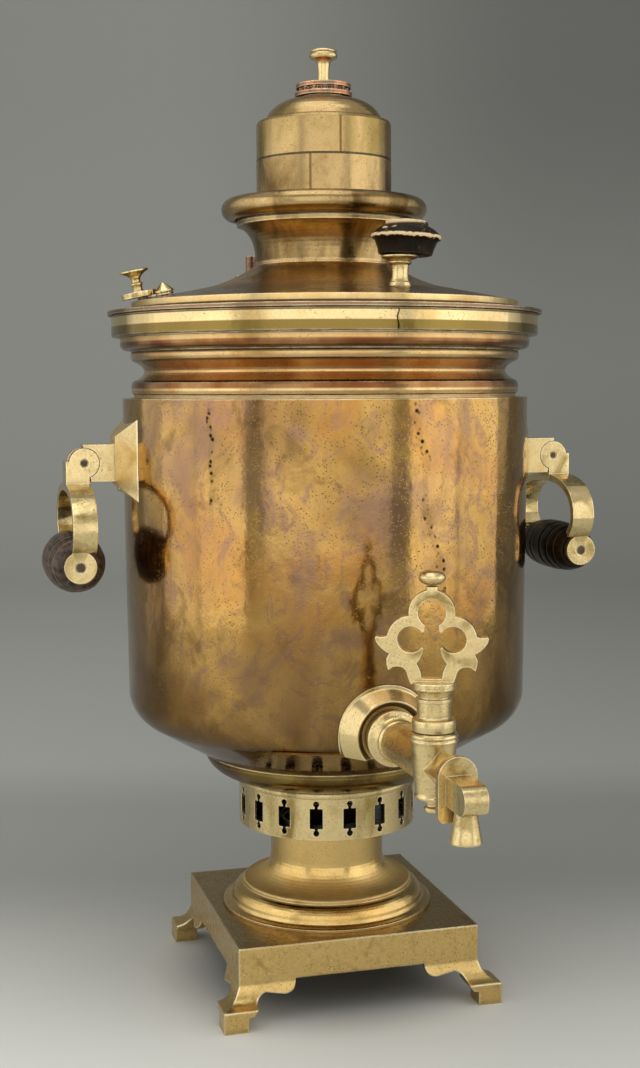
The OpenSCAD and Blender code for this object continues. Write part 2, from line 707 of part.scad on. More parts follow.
module spout() {
    rhomb_half = 6.8;
    rhomb_rise = 9.2;
    plate_low = arch_z - 16.1;
    chamfer = 2.4;
    translate([0, (barrel_y + plate_y) / 2, tap_z]) upright(barrel_y - plate_y)
        polygon([[rhomb_half, 0], [0, rhomb_rise], [-rhomb_half, 0], [0, -rhomb_rise]]);
    translate([0, plate_y - plate_t / 2, 0]) upright(plate_t) {
        translate([0, arch_z]) circle(r = plate_half);
        polygon([
            [-plate_half, arch_z], [-plate_half, plate_low], [-plate_half + 1.6, plate_low - chamfer],
            [plate_half - 1.6, plate_low - chamfer], [plate_half, plate_low], [plate_half, arch_z]
        ]);
    }
    translate([-tongue_w / 2, spout_y - tongue_r, tongue_z - tongue_r])
        cube([tongue_w, plate_y - spout_y + tongue_r - plate_t + past, 2 * tongue_r]);
    translate([0, spout_y - tongue_r, tongue_z]) rotate([0, 90, 0])
        cylinder(r = tongue_r, h = tongue_w, center = true);
    translate([0, spout_y, 0]) lathe(concat(
        [[0, nozzle_z], [nozzle_r, nozzle_z]],
        bend([nozzle_r, nozzle_z + 0.6], [nozzle_r - 1.6, nozzle_top - 4],
            [nozzle_r - 2.2, nozzle_top + 1], 6),
        [[0, nozzle_top + 1]]
    ));
}

module tap_body() color(pale_brass) difference() {
    union() {
        along_tap() lathe(pipe_outside());
        at_barrel() barrel();
        spout();
    }
    at_barrel() lathe([
        [0, plug_end - slip],
        [plug_foot_r + fit, plug_end - slip],
        [plug_r + fit, barrel_top + past],
        [0, barrel_top + past]
    ]);
    at_barrel() disc(tail_r + fit, barrel_foot - past, plug_end);
    along_tap() disc(bore_r + 1, spigot_end - past, -barrel_y - plug_foot_r);
    translate([0, 0, front_bore_z]) rotate([90, 0, 0]) disc(bore_r, -barrel_y, -spout_y);
    translate([0, spout_y, 0]) disc(bore_r, nozzle_z - past, front_bore_z);
    translate([0, spout_y, nozzle_z - past])
        cylinder(r1 = nozzle_r - 0.8, r2 = bore_r, h = nozzle_h / 2 + past);
}

module tap_saddle() color(brass) difference() {
    intersection() {
        along_tap() disc(saddle_r, saddle_front, drum_wide);
        vessel_room(fit);
    }
    along_tap() disc(spigot_tap_r + fit, saddle_front - past, drum_wide + past);
}

module tap_locknut() color(brass) along_tap() difference() {
    translate([0, 0, saddle_front - locknut_t]) cylinder(r = saddle_r, h = locknut_t, $fn = 6);
    disc(spigot_tap_r + fit, saddle_front - locknut_t - past, saddle_front + past);
}

// Key: plug, turned stem, trefoil and button in one casting

module trefoil() {
    leaf = concat(
        bend([lobe_side + 6, lobe_low + 5], [lobe_side + 10, lobe_low - 0.5],
            [lobe_side + 14.2, lobe_low + 1.2], 6),
        [[lobe_side + 14.8, lobe_low + 0.6]],
        bend([lobe_side + 14.2, lobe_low - 1.4], [lobe_side + 12, lobe_low - 4.6],
            [lobe_side + 8.9, lobe_low - 6], 6),
        bend([lobe_side + 10, lobe_low - 8.2], [lobe_side + 10.2, lobe_low - 10.8],
            [lobe_side + 9.2, lobe_low - 13], 5),
        bend([lobe_side + 7.4, lobe_low - 11.6], [lobe_side + 2, lobe_low - 10.4],
            [lobe_side + 1.2, lobe_low - 15.4], 6),
        [[lobe_side, -past]]
    );
    difference() {
        union() {
            translate([0, lobe_high]) circle(r = lobe_r - 0.2);
            for (s = [-1, 1]) translate([s * lobe_side, lobe_low]) circle(r = lobe_r);
            polygon(concat(leaf, mirrored(leaf)));
        }
        translate([0, lobe_high]) circle(r = lobe_hole_r + 0.3);
        for (s = [-1, 1]) translate([s * lobe_side, lobe_low]) circle(r = lobe_hole_r);
        polygon(trefoil_gap());
    }
}

// The opening between the three round ones, which flares like a bell towards the stem
function trefoil_gap() =
    let (half = concat(
        [[4.2, 1.3]],
        bend([4.7, 4], [5.6, 6.4], [6.3, 7.6], 4),
        bend([5.2, 9.2], [3.9, 11], [3.5, 14], 4),
        [[5, lobe_low - 2.4], [5, lobe_low + 2.4], [3.2, lobe_low + 3.4], [2.6, lobe_high - 3.6]]
    ))
    concat(half, mirrored(half));

module key_button() {
    z = trefoil_z + lobe_high + lobe_r;
    lathe(concat(
        [[0, z - 2], [3, z - 2], [2.6, z + 1]],
        [for (a = [-75:15:75]) [button_rx * cos(a), z + 4.8 + button_rz * sin(a)]],
        [[0, z + 4.8 + button_rz]]
    ));
}

module tap_key() color(pale_brass) at_barrel() difference() {
    union() {
        lathe(concat(
            [[0, barrel_foot - tail_h], [tail_r, barrel_foot - tail_h], [tail_r, plug_end]],
            [[plug_foot_r, plug_end], [plug_r, key_z], [key_collar_r - 0.3, key_z]],
            bend([key_collar_r, key_z + 0.3], [key_collar_r + 0.4, key_z + key_collar_h / 2],
                [key_collar_r, key_z + key_collar_h - 0.3], 4),
            [[key_collar_r - 0.4, key_z + key_collar_h]],
            [[key_stem_r + 0.5, key_z + key_collar_h + 0.4]],
            [[key_stem_r, key_z + key_collar_h + 0.9], [key_stem_r, key_ring_z - 0.9]],
            [[key_stem_r + 0.5, key_ring_z - 0.6], [key_stem_r + 0.5, key_ring_z + 0.6]],
            [[key_stem_r - 0.1, key_ring_z + 0.9]],
            bend([key_stem_r - 0.5, key_ring_z + 1.2], [key_stem_r - 0.3, trefoil_z - 3.9],
                [key_disc_r - 0.4, trefoil_z - 3.2], 5),
            [[key_disc_r, trefoil_z - 2.8], [key_disc_r, trefoil_z - 0.3]],
            [[key_disc_r - 0.3, trefoil_z], [0, trefoil_z]]
        ));
        rotate([0, 0, key_turn]) translate([trefoil_shift, 0, 0]) {
            translate([0, 0, trefoil_z]) upright(key_t) trefoil();
            key_button();
        }
    }
    translate([0, 0, port_z]) rotate([0, 90, 0]) cylinder(r = bore_r, h = 2 * barrel_r, center = true);
}

module key_washer() color(brass) at_barrel()
    ring(tail_r + fit, barrel_foot_r - 4, barrel_foot - slip - tail_washer_t, barrel_foot - slip);

module key_nut() color(brass) at_barrel() {
    top = barrel_foot - slip - tail_washer_t;
    lathe(concat(
        [[tail_r + fit, top], [tail_r + fit, top - 4.6], [3.2, top - 4.6]],
        bend([3.8, top - 4.2], [4.5, top - 2.8], [3.2, top - 2], 4),
        [[2.9, top - 1.6], [3.2, top]]
    ));
}

// Handles: side is -1 on the left and 1 on the right

module mirror_to(side) mirror([side < 0 ? 1 : 0, 0, 0]) children();

module handle_plate(side) mirror_to(side) difference() {
    base_x = drum_r - 3.1;
    top_x = drum_r + plate_reach;
    mid_z = pivot_z + 1.4;
    pocket = knuckle_r + slip;
    union() {
        difference() {
            intersection() {
                translate([0, 0, mid_z - plate_h / 2]) linear_extrude(height = plate_h)
                    polygon([[base_x, -plate_w / 2], [top_x, -plate_face_w / 2],
                        [top_x, plate_face_w / 2], [base_x, plate_w / 2]]);
                upright(plate_w)
                    polygon([[base_x, mid_z - plate_h / 2], [top_x, mid_z - plate_face_h / 2],
                        [top_x, mid_z + plate_face_h / 2], [base_x, mid_z + plate_h / 2]]);
            }
            vessel_body(fit);
        }
        difference() {
            upright(lug_w) polygon([[top_x - 1, pivot_z - lug_h / 2], [pivot_x - 3.3, pivot_z - lug_h / 2],
                [pivot_x + 0.5, pivot_z + lug_h / 2], [top_x - 1, pivot_z + lug_h / 2]]);
            translate([pivot_x, 0, pivot_z]) cross_bar(pocket, lug_w + past);
        }
        translate([pivot_x, 0, pivot_z]) cross_bar(knuckle_r - slip, 2 * lug_half);
        translate([top_x - 1, -lug_half, pivot_z - knuckle_r + 1])
            cube([pivot_x - top_x, 2 * lug_half, 2 * (knuckle_r - 1)]);
        for (rise = [-1, 1]) translate([drum_r - vessel_wall - stud_nut_t - 1, 0, pivot_z + rise * stud_rise])
            rotate([0, 90, 0]) cylinder(r = stud_r, h = vessel_wall + stud_nut_t + 5);
    }
    translate([pivot_x, 0, pivot_z]) cross_bar(hinge_pin_r + fit, lug_w);
}

module stud_nut() difference() {
    rotate([0, 90, 0]) cylinder(r = stud_nut_r, h = stud_nut_t, $fn = 6);
    translate([-past, 0, 0]) rotate([0, 90, 0]) cylinder(r = stud_r + fit, h = stud_nut_t + 2 * past);
}

module handle_nuts() color(brass) for (side = [-1, 1], rise = [-1, 1]) mirror_to(side)
    translate([drum_r - vessel_wall - stud_nut_t - 0.2, 0, pivot_z + rise * stud_rise]) stud_nut();

module hinge_pins() color(iron) for (side = [-1, 1]) at_pivot(side) cross_bar(hinge_pin_r, lug_w - 0.4);

// The strap's outer line in Y and Z, from one end boss over the top to the other
function bow_arm() =
    let (mid = pivot_z - 31.3, top = 21.3, squareness = 2.4)
    concat(
        [[boss_out, grip_z + boss_r - 1], [boss_out + 1.4, grip_z + boss_r]],
        [for (a = [-25:12.5:0]) [bow_half * cos(a), mid + (mid - grip_z) * sin(a)]],
        [for (a = [9:9:90]) [bow_half * pow(cos(a), 2 / squareness), mid + top * pow(sin(a), 2 / squareness)]]
    );

module bow(side) mirror_to(side) {
    arm = bow_arm();
    line = concat(arm, [for (i = [len(arm) - 2:-1:0]) [-arm[i][0], arm[i][1]]]);
    strap_x = pivot_x - 2.2;
    link_in = pivot_x - 2.4;
    link_out = pivot_x + 9;
    difference() {
        union() {
            translate([strap_x, 0, 0]) rotate([90, 0, 90]) linear_extrude(height = strap_w)
                polygon(concat(line, reversed(wall_line(line, strap_t))));
            for (s = [-1, 1]) translate([grip_x, s * (boss_out - boss_t / 2), grip_z])
                cross_bar(boss_r, boss_t);
            difference() {
                upright(lug_w) {
                    translate([pivot_x, pivot_z]) circle(r = knuckle_r);
                    polygon([[link_in, pivot_z - 12], [link_out, pivot_z - 12],
                        [link_out, pivot_z + 0.9], [link_in, pivot_z + 0.9]]);
                }
                translate([pivot_x, 0, pivot_z]) cross_bar(knuckle_r + slip, 2 * cheek_in);
                translate([link_in - past, -cheek_in, pivot_z - knuckle_r])
                    cube([past - link_in + pivot_x, 2 * cheek_in, 2 * knuckle_r]);
            }
        }
        translate([pivot_x, 0, pivot_z]) cross_bar(hinge_pin_r + fit, lug_w + past);
        translate([grip_x, 0, grip_z]) cross_bar(rod_r + fit, 2 * boss_out + past);
    }
}

module grip_rod(side) mirror_to(side) translate([grip_x, 0, grip_z]) cross_bar(rod_r, 2 * boss_out);

// The grip's outline: a barrel with a bead and a groove near each end
function grip_side(side) =
    let (swell = (side < 0 ? grip_r_left : grip_r_right) - grip_end_r)
    [for (i = [-12:12]) let (t = i / 12) [grip_end_r + swell * pow(1 - pow(abs(t), 2.4), 0.6)
        - (abs(abs(t) - 0.5) < 0.05 ? 0.5 : 0), t * grip_half]];

module grip(side) mirror_to(side) translate([grip_x, 0, grip_z]) rotate([90, 0, 0])
    lathe(concat([[rod_r + 2 * fit, -grip_half]], grip_side(side), [[rod_r + 2 * fit, grip_half]]));

module handle_plate_l() color(pale_brass) handle_plate(-1);
module handle_plate_r() color(pale_brass) handle_plate(1);
module bow_l() color(pale_brass) bow(-1);
module bow_r() color(pale_brass) bow(1);
module grip_rod_l() color(iron) grip_rod(-1);
module grip_rod_r() color(iron) grip_rod(1);
module grip_l() color(dark_wood) grip(-1);
module grip_r() color(black_wood) grip(1);

// Lid

function lid_line() = concat(
    [[step_r, lid_z], [step_r, step_top]],
    bend([sweep_r, roof_z(sweep_r)], [sweep_r - 11.6, roof_z(sweep_r - 11.6)], [crown_neck_r, crown_z - 1.4]),
    [[crown_neck_r, crown_z]]
);

module lid() color(brass) difference() {
    union() {
        lathe_shell(lid_line(), lid_sheet);
        ring(min(step_r, skirt_r) - lid_sheet, lip_r, lid_z, lip_top);
        ring(skirt_r - lid_sheet, skirt_r, lid_z - skirt_h, lip_top);
    }
    for (a = [knob_front, knob_back]) at_knob(a) disc(bolt_r + fit, lid_z, crown_z);
    on_vent() disc(vent_hole_r, -3 * lid_sheet, past);
    at_vent_pivot() disc(pivot_pin_r + fit, -3 * lid_sheet, past);
}

// What lies under the lid's roof, for seating pieces on the slope
module under_roof() lathe([
    [0, lid_z],
    [step_r, lid_z],
    [step_r, step_top],
    [sweep_r, roof_z(sweep_r)],
    [0, roof_z(sweep_r)]
]);

module knob_stems() color(pale_brass) for (a = [knob_front, knob_back]) difference() {
    at_knob(a) difference() {
        lathe(concat(
            [[0, stem_z], [stem_foot_r, stem_z], [stem_foot_r + 0.4, stem_z + stem_foot_h / 2]],
            [[stem_foot_r, stem_z + stem_foot_h - 0.3]],
            bend([stem_foot_r - 0.4, stem_z + stem_foot_h],
                [stem_foot_r - 1.6, stem_z + stem_foot_h + stem_h / 4],
                [stem_foot_r - 0.8, stem_top - 5.2], 6),
            bend([stem_foot_r - 0.6, stem_top - 4.4], [stem_foot_r + 1.4, stem_top - 3.2],
                [stem_foot_r - 0.2, stem_top - 2.2], 4),
            bend([stem_foot_r + 0.4, stem_top - 2], [stem_cup_r + 0.5, stem_top - 1.4],
                [stem_cup_r, stem_top], 4),
            [[0, stem_top]]
        ));
        disc(bolt_r + fit, stem_z - past, stem_top + past);
    }
    under_roof();
}

module knob_bolts() color(copper) for (a = [knob_front, knob_back]) at_knob(a) {
    under = roof_z(knob_at) - lid_sheet / cos(roof_tilt) - (bolt_r + bolt_head) * tan(roof_tilt);
    disc(bolt_r, under, stem_top + bolt_over);
    disc(bolt_r + bolt_head, under - bolt_head, under);
}

module lid_knob() color(black_wood) at_knob(knob_front) difference() {
    rim = stem_top + 0.52 * knob_h;
    top = stem_top + knob_h;
    translate([0, knob_shift, 0]) lathe(concat(
        [[0, stem_top], [knob_r - 4.6, stem_top], [knob_r - 4, stem_top + 0.6]],
        [[knob_r - 2.2, rim - 1.6], [knob_r - 1, rim - 1.2], [knob_r, rim], [knob_r - 0.1, rim + 1.2]],
        bend([knob_r - 1.4, rim + 1.9], [knob_r - 3.6, top - 3.6], [knob_r - 6.6, top - 1.8], 5),
        [[knob_r - 7, top - 0.4], [knob_r - 7.6, top], [knob_r - 9.6, top], [knob_r - 10.2, top - 0.6]],
        [[0, top - 0.6]]
    ));
    disc(bolt_r + fit, stem_top - past, stem_top + bolt_over + 0.2);
}

// Steam vent

module vent_seat() color(brass) on_vent() ring(vent_hole_r, vent_hole_r + 1.4, 0.02, vent_seat_h);

module vent_pivot() color(pale_brass) at_vent_pivot() {
    head = arm_top + slip;
    disc(pivot_pin_r, -3 * lid_sheet, head);
    disc(pivot_pin_r + 1.2, -2 * lid_sheet - 1, -2 * lid_sheet);
    translate([0, 0, head]) lathe([
        [0, 0],
        [pivot_head_r, 0],
        [pivot_head_r, 0.8],
        [0.8, pivot_head_h],
        [0, pivot_head_h]
    ]);
}

module vent_cover() color(pale_brass) on_vent() translate([-cover_shift, 0, 0]) difference() {
    union() {
        disc(vent_disc_r, cover_low, cover_top);
        rotate([0, 0, arm_turn]) {
            translate([riser_at, -2, arm_low]) cube([riser_t, 4, cover_top - arm_low]);
            translate([riser_at, -3, arm_low]) cube([arm_len - riser_at, 6, arm_top - arm_low]);
            translate([arm_len, 0, 0]) disc(4.4, arm_low, arm_top);
        }
    }
    rotate([0, 0, arm_turn]) translate([arm_len, 0, 0]) disc(pivot_pin_r + fit, 0, cover_top);
    disc(cover_pin_r + fit, 0, cover_top + past);
}

module vent_button() color(pale_brass) on_vent() translate([-cover_shift, 0, cover_top]) lathe(concat(
    [[0, -vent_disc_t], [cover_pin_r, -vent_disc_t], [cover_pin_r, 0], [3, 0]],
    bend([2.6, 0.6], [2.2, 2], [2.6, 3], 4),
    bend([2.8, 3.4], [3.4, 4], [2.6, 4.6], 4),
    bend([2.1, 5], [2, vent_button_h - 3], [vent_top_r - 0.8, vent_button_h - 1.4], 6),
    [[vent_top_r, vent_button_h - 1], [vent_top_r, vent_button_h - 0.4]],
    [[vent_top_r - 0.8, vent_button_h], [0, vent_button_h]]
));

// Crown and cap

module crown() color(brass) {
    wall = crown_neck_r - spigot_r;
    roll_z = seat_z + 2.9;
    roll_at = flare_r + 3.2;
    lathe_shell(concat(
        [[crown_neck_r, crown_z]],
        bend([crown_neck_r, crown_z + 1], [crown_neck_r + 0.1, crown_z + 0.78 * flare_h],
            [flare_r, crown_z + flare_h]),
        [[flare_r, seat_z]]
    ), wall);
    ring(spigot_r - spigot_wall, spigot_r, crown_z - spigot_h, crown_z);
    ring(spigot_r - spigot_wall, crown_neck_r - wall / 2, crown_z, crown_z + 1.6);
    ring(flare_r - 1, flare_r + 0.8, crown_z + flare_h - 0.2, crown_z + flare_h + 2);
    translate([0, 0, roll_z]) rotate_extrude() translate([roll_at, 0]) circle(r = roll_r);
    ring(sleeve_r - sleeve_wall - 0.8, flare_r - 0.5, seat_z - 1.4, seat_z);
}

module cap_sleeve() color(brass) ring(sleeve_r - sleeve_wall, sleeve_r, seat_z, cap_z);

module cap() color(brass) {
    cap_r = sleeve_r - 0.1;
    wall_top = cap_z + cap_wall_h;
    spigot = sleeve_r - sleeve_wall - slip;
    lathe_shell(concat(
        [[cap_r, cap_z], [cap_r, wall_top]],
        [[cap_r - 0.5, wall_top + 1.2], [cap_r - 2, wall_top + 1.8], [cap_r - 4, wall_top + 2.2]],
        bend([cap_r - 4.6, wall_top + 2.6], [cap_r - 8.6, dome_z - 0.6], [9, dome_z]),
        [[cap_pin_r + fit, dome_z]]
    ), cap_sheet);
    ring(spigot - cap_sheet, spigot, cap_z - cap_spigot_h, cap_z + 1.6);
    ring(spigot - cap_sheet, cap_r - cap_sheet / 2, cap_z, cap_z + 1.6);
}

module cap_washer() color(copper) {
    in_r = cap_pin_r + fit;
    groove_r = washer_r - 3;
    low = dome_z + washer_foot_h;
    middle = low + washer_t;
    top = middle + washer_gap;
    ring(in_r, groove_r, dome_z, low);
    ring(in_r, washer_r, low, middle);
    ring(in_r, groove_r, middle, top);
    for (i = [1:washer_studs]) rotate([0, 0, 360 * i / washer_studs]) translate([groove_r, 0, 0])
        disc(1.2, middle, top);
    ring(in_r, washer_r - 0.6, top, finial_z);
}

module cap_finial() color(pale_brass) {
    top = finial_z + button_h;
    foot = dome_z - cap_sheet - cap_pin_h;
    lathe(concat(
        [[0, foot], [cap_pin_r, foot], [cap_pin_r, finial_z], [3.4, finial_z]],
        bend([3.2, finial_z + 0.8], [2.4, finial_z + 5], [3.2, top - 7.6], 6),
        bend([3.4, top - 7], [4, top - 5.6], [5.6, top - 5], 4),
        bend([button_r - 0.4, top - 4.8], [button_r + 0.6, top - 3.4], [button_r - 0.4, top - 2.3], 4),
        [[button_r - 1, top - 2]],
        bend([button_r - 0.4, top - 1.8], [button_r + 0.2, top - 1.2], [button_r - 0.8, top - 0.5], 4),
        [[button_r - 2.6, top], [0, top]]
    ));
}

module cap_nut() color(brass) translate([0, 0, dome_z - cap_sheet - cap_nut_t]) difference() {
    cylinder(r = 4.4, h = cap_nut_t, $fn = 6);
    disc(cap_pin_r + fit, -past, cap_nut_t + past);
}

base_plinth();
pedestal();
base_screws();
collar();
bowl();
vessel();
neck_ring();
fire_tube();
grate();
tap_flange();
tap_body();
tap_saddle();
tap_locknut();
handle_plate_l();
handle_plate_r();
handle_nuts();
hinge_pins();
tap_key();
key_washer();
key_nut();
bow_l();
grip_rod_l();
grip_l();
bow_r();
grip_rod_r();
grip_r();
lid();
knob_stems();
knob_bolts();
lid_knob();
vent_seat();
vent_pivot();
vent_cover();
vent_button();
crown();
cap_sleeve();
cap();
cap_washer();
cap_finial();
cap_nut();
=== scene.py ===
"""Looks of the drum samovar: materials, worn details, a pale studio and the camera."""

import math

import bpy
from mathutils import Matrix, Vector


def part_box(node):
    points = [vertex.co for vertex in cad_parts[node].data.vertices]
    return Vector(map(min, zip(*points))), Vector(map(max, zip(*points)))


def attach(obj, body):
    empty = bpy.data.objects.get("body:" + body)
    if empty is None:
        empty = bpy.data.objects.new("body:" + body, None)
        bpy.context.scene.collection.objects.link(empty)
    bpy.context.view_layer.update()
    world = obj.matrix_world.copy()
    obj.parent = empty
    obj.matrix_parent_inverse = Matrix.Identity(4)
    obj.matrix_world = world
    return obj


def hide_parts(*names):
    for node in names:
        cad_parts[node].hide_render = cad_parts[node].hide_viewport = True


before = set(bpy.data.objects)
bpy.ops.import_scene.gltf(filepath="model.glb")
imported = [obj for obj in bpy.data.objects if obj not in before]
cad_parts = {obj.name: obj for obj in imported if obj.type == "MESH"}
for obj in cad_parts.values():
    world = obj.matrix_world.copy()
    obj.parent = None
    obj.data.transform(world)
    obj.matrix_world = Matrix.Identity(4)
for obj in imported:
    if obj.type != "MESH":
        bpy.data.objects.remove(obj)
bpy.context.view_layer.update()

bl_info = {
    "name": "Drum samovar looks",
    "version": (1, 0, 0),
    "blender": (4, 5, 0),
    "location": "View3D > Sidebar > Samovar",
    "description": "Finishes the samovar's pieces and sets its studio and camera",
    "category": "Object",
}

# Place of the camera in metres, its turn in degrees, and its lens and sensor in millimetres
CAMERA_PLACE = (-0.2153683, -0.7624356, 0.3071)
CAMERA_TURN = (84.4674, 0.2555, -15.6010)
CAMERA_LENS = 52.0426
CAMERA_HEIGHT = 36.0

# Heading of the camera from the urn's axis, from which the lights and the marks are laid out
FACING = math.atan2(CAMERA_PLACE[1], CAMERA_PLACE[0])

# Height of the urn's middle, at which the light panels point
URN_MIDDLE = 0.22

# Width of the grooves that gather dirt and painted shade on metal and on wood
METAL_GROOVE = 0.006
WOOD_GROOVE = 0.003


def tone(red, green, blue):
    """A screen colour from 0 to 255 as the linear colour that shaders use."""

    def linear(value):
        value /= 255
        return value / 12.92 if value <= 0.04045 else ((value + 0.055) / 1.055) ** 2.4

    return (linear(red), linear(green), linear(blue))


def colour_setting(name, description, default):
    return bpy.props.FloatVectorProperty(
        name=name, description=description, default=default, subtype="COLOR", size=3, min=0, max=1
    )


def length_setting(name, description, default, low, high):
    return bpy.props.FloatProperty(
        name=name, description=description, default=default, min=low, max=high,
        subtype="DISTANCE", unit="LENGTH", precision=5,
    )


def share_setting(name, description, default, low=0.0, high=1.0):
    return bpy.props.FloatProperty(
        name=name, description=description, default=default, min=low, max=high, subtype="FACTOR"
    )


class SamovarSettings(bpy.types.PropertyGroup):
    """The sizes and colours that a user may change before the pieces are built."""

    gold: colour_setting("Gold", "Brass of the drum where it is cleanest", tone(205, 163, 92))
    amber: colour_setting("Amber", "Warm tarnish on the drum, the neck and the lid", tone(184, 128, 66))
    # Umber is also the dark colour of the painted shade in the hollows of most metal parts.
    umber: colour_setting("Umber", "Brown tarnish in hollows and on top faces", tone(98, 74, 38))
    honey: colour_setting("Honey", "Satin brass of the base and the pedestal", tone(214, 182, 116))
    bronze: colour_setting("Bronze", "Duller brass of the crown and the cap", tone(190, 161, 110))
    cream: colour_setting("Cream", "Polished brass of the neck and the rim", tone(238, 212, 154))
    # Rubbed brass is worn metal and also a painted highlight on the edges.
    rubbed: colour_setting("Rubbed brass", "Bright metal of the rubbed edges", tone(255, 240, 200))
    straw: colour_setting("Straw", "Pale brass of the castings", tone(226, 203, 148))
    olive: colour_setting("Olive", "Greenish tarnish of the castings", tone(146, 124, 66))
    plum: colour_setting("Plum", "Purplish bloom on heated brass", tone(142, 110, 94))
    # Soot is also the dark colour of the painted shade in grooves, and of the painted shade lines on
    # the neck and the lid.
    soot: colour_setting("Soot", "Dirt in grooves and slots", tone(34, 27, 14))
    # Rust brown also paints shade in the bands of the neck's mouldings.
    rust: colour_setting("Rust brown", "Red-brown tarnish between the mouldings", tone(112, 62, 36))
    rose: colour_setting("Rose", "Copper of the washers under the cap's button", tone(184, 124, 88))
    steel: colour_setting("Steel", "Iron of the pins, rods and screws", tone(92, 86, 80))
    walnut: colour_setting("Walnut", "Brown wood of the left grip", tone(88, 66, 54))
    ebony: colour_setting("Ebony", "Black wood of the right grip and the lid knob", tone(17, 15, 15))
    worn_wood: colour_setting("Worn wood", "Wood where the finish has rubbed off", tone(146, 116, 86))
    bare_wood: colour_setting("Bare wood", "Wood where the lacquer is gone", tone(226, 200, 156))
    floor: colour_setting("Floor", "Colour of the floor and the backdrop", tone(228, 229, 224))
    # The wall colour is painted shade: the paper darkens to it away from the camera.
    wall: colour_setting("Wall", "Colour of the backdrop behind the floor", tone(169, 170, 165))
    # The colour of the painted shade on the right of the backdrop and under the urn.
    painted_dusk: colour_setting("Dusk", "Colour that the backdrop darkens to on the right", tone(60, 60, 58))
    edge: length_setting("Edge", "Softening of the metal edges", 0.0004, 0.0, 0.002)
    chips: length_setting("Chips", "Depth of the wear on the wood", 0.0005, 0.0, 0.002)
    groove: length_setting("Groove", "Depth of the grooves round the grips", 0.0007, 0.0, 0.002)
    grip_end: length_setting("Grip end", "Radius of the grips at their ends", 0.009, 0.006, 0.012)
    knob_tilt: bpy.props.FloatProperty(
        name="Knob tilt", description="How far the lid knob leans", default=math.radians(3),
        min=0, max=math.radians(10), subtype="ANGLE")
    # Wear also sets how strong the painted highlight on the edges is.
    wear: share_setting("Wear", "How bright the rubbed edges are", 1.0)
    # How dark the dirt and the painted shade in the grooves are.
    grime_and_shade: share_setting("Grime", "How dark the dirt in the grooves is", 0.75)
    key_light: share_setting("Right light", "Brightness of the right panel", 1.02, 0, 6)
    side_light: share_setting("Left light", "Brightness of the left panel", 1.0, 0, 6)
    front_light: share_setting("Front light", "Brightness of the front panel", 0.86, 0, 6)
    top_light: share_setting("Top light", "Brightness of the top panel", 1.3, 0, 6)


def settings():
    return bpy.context.scene.samovar


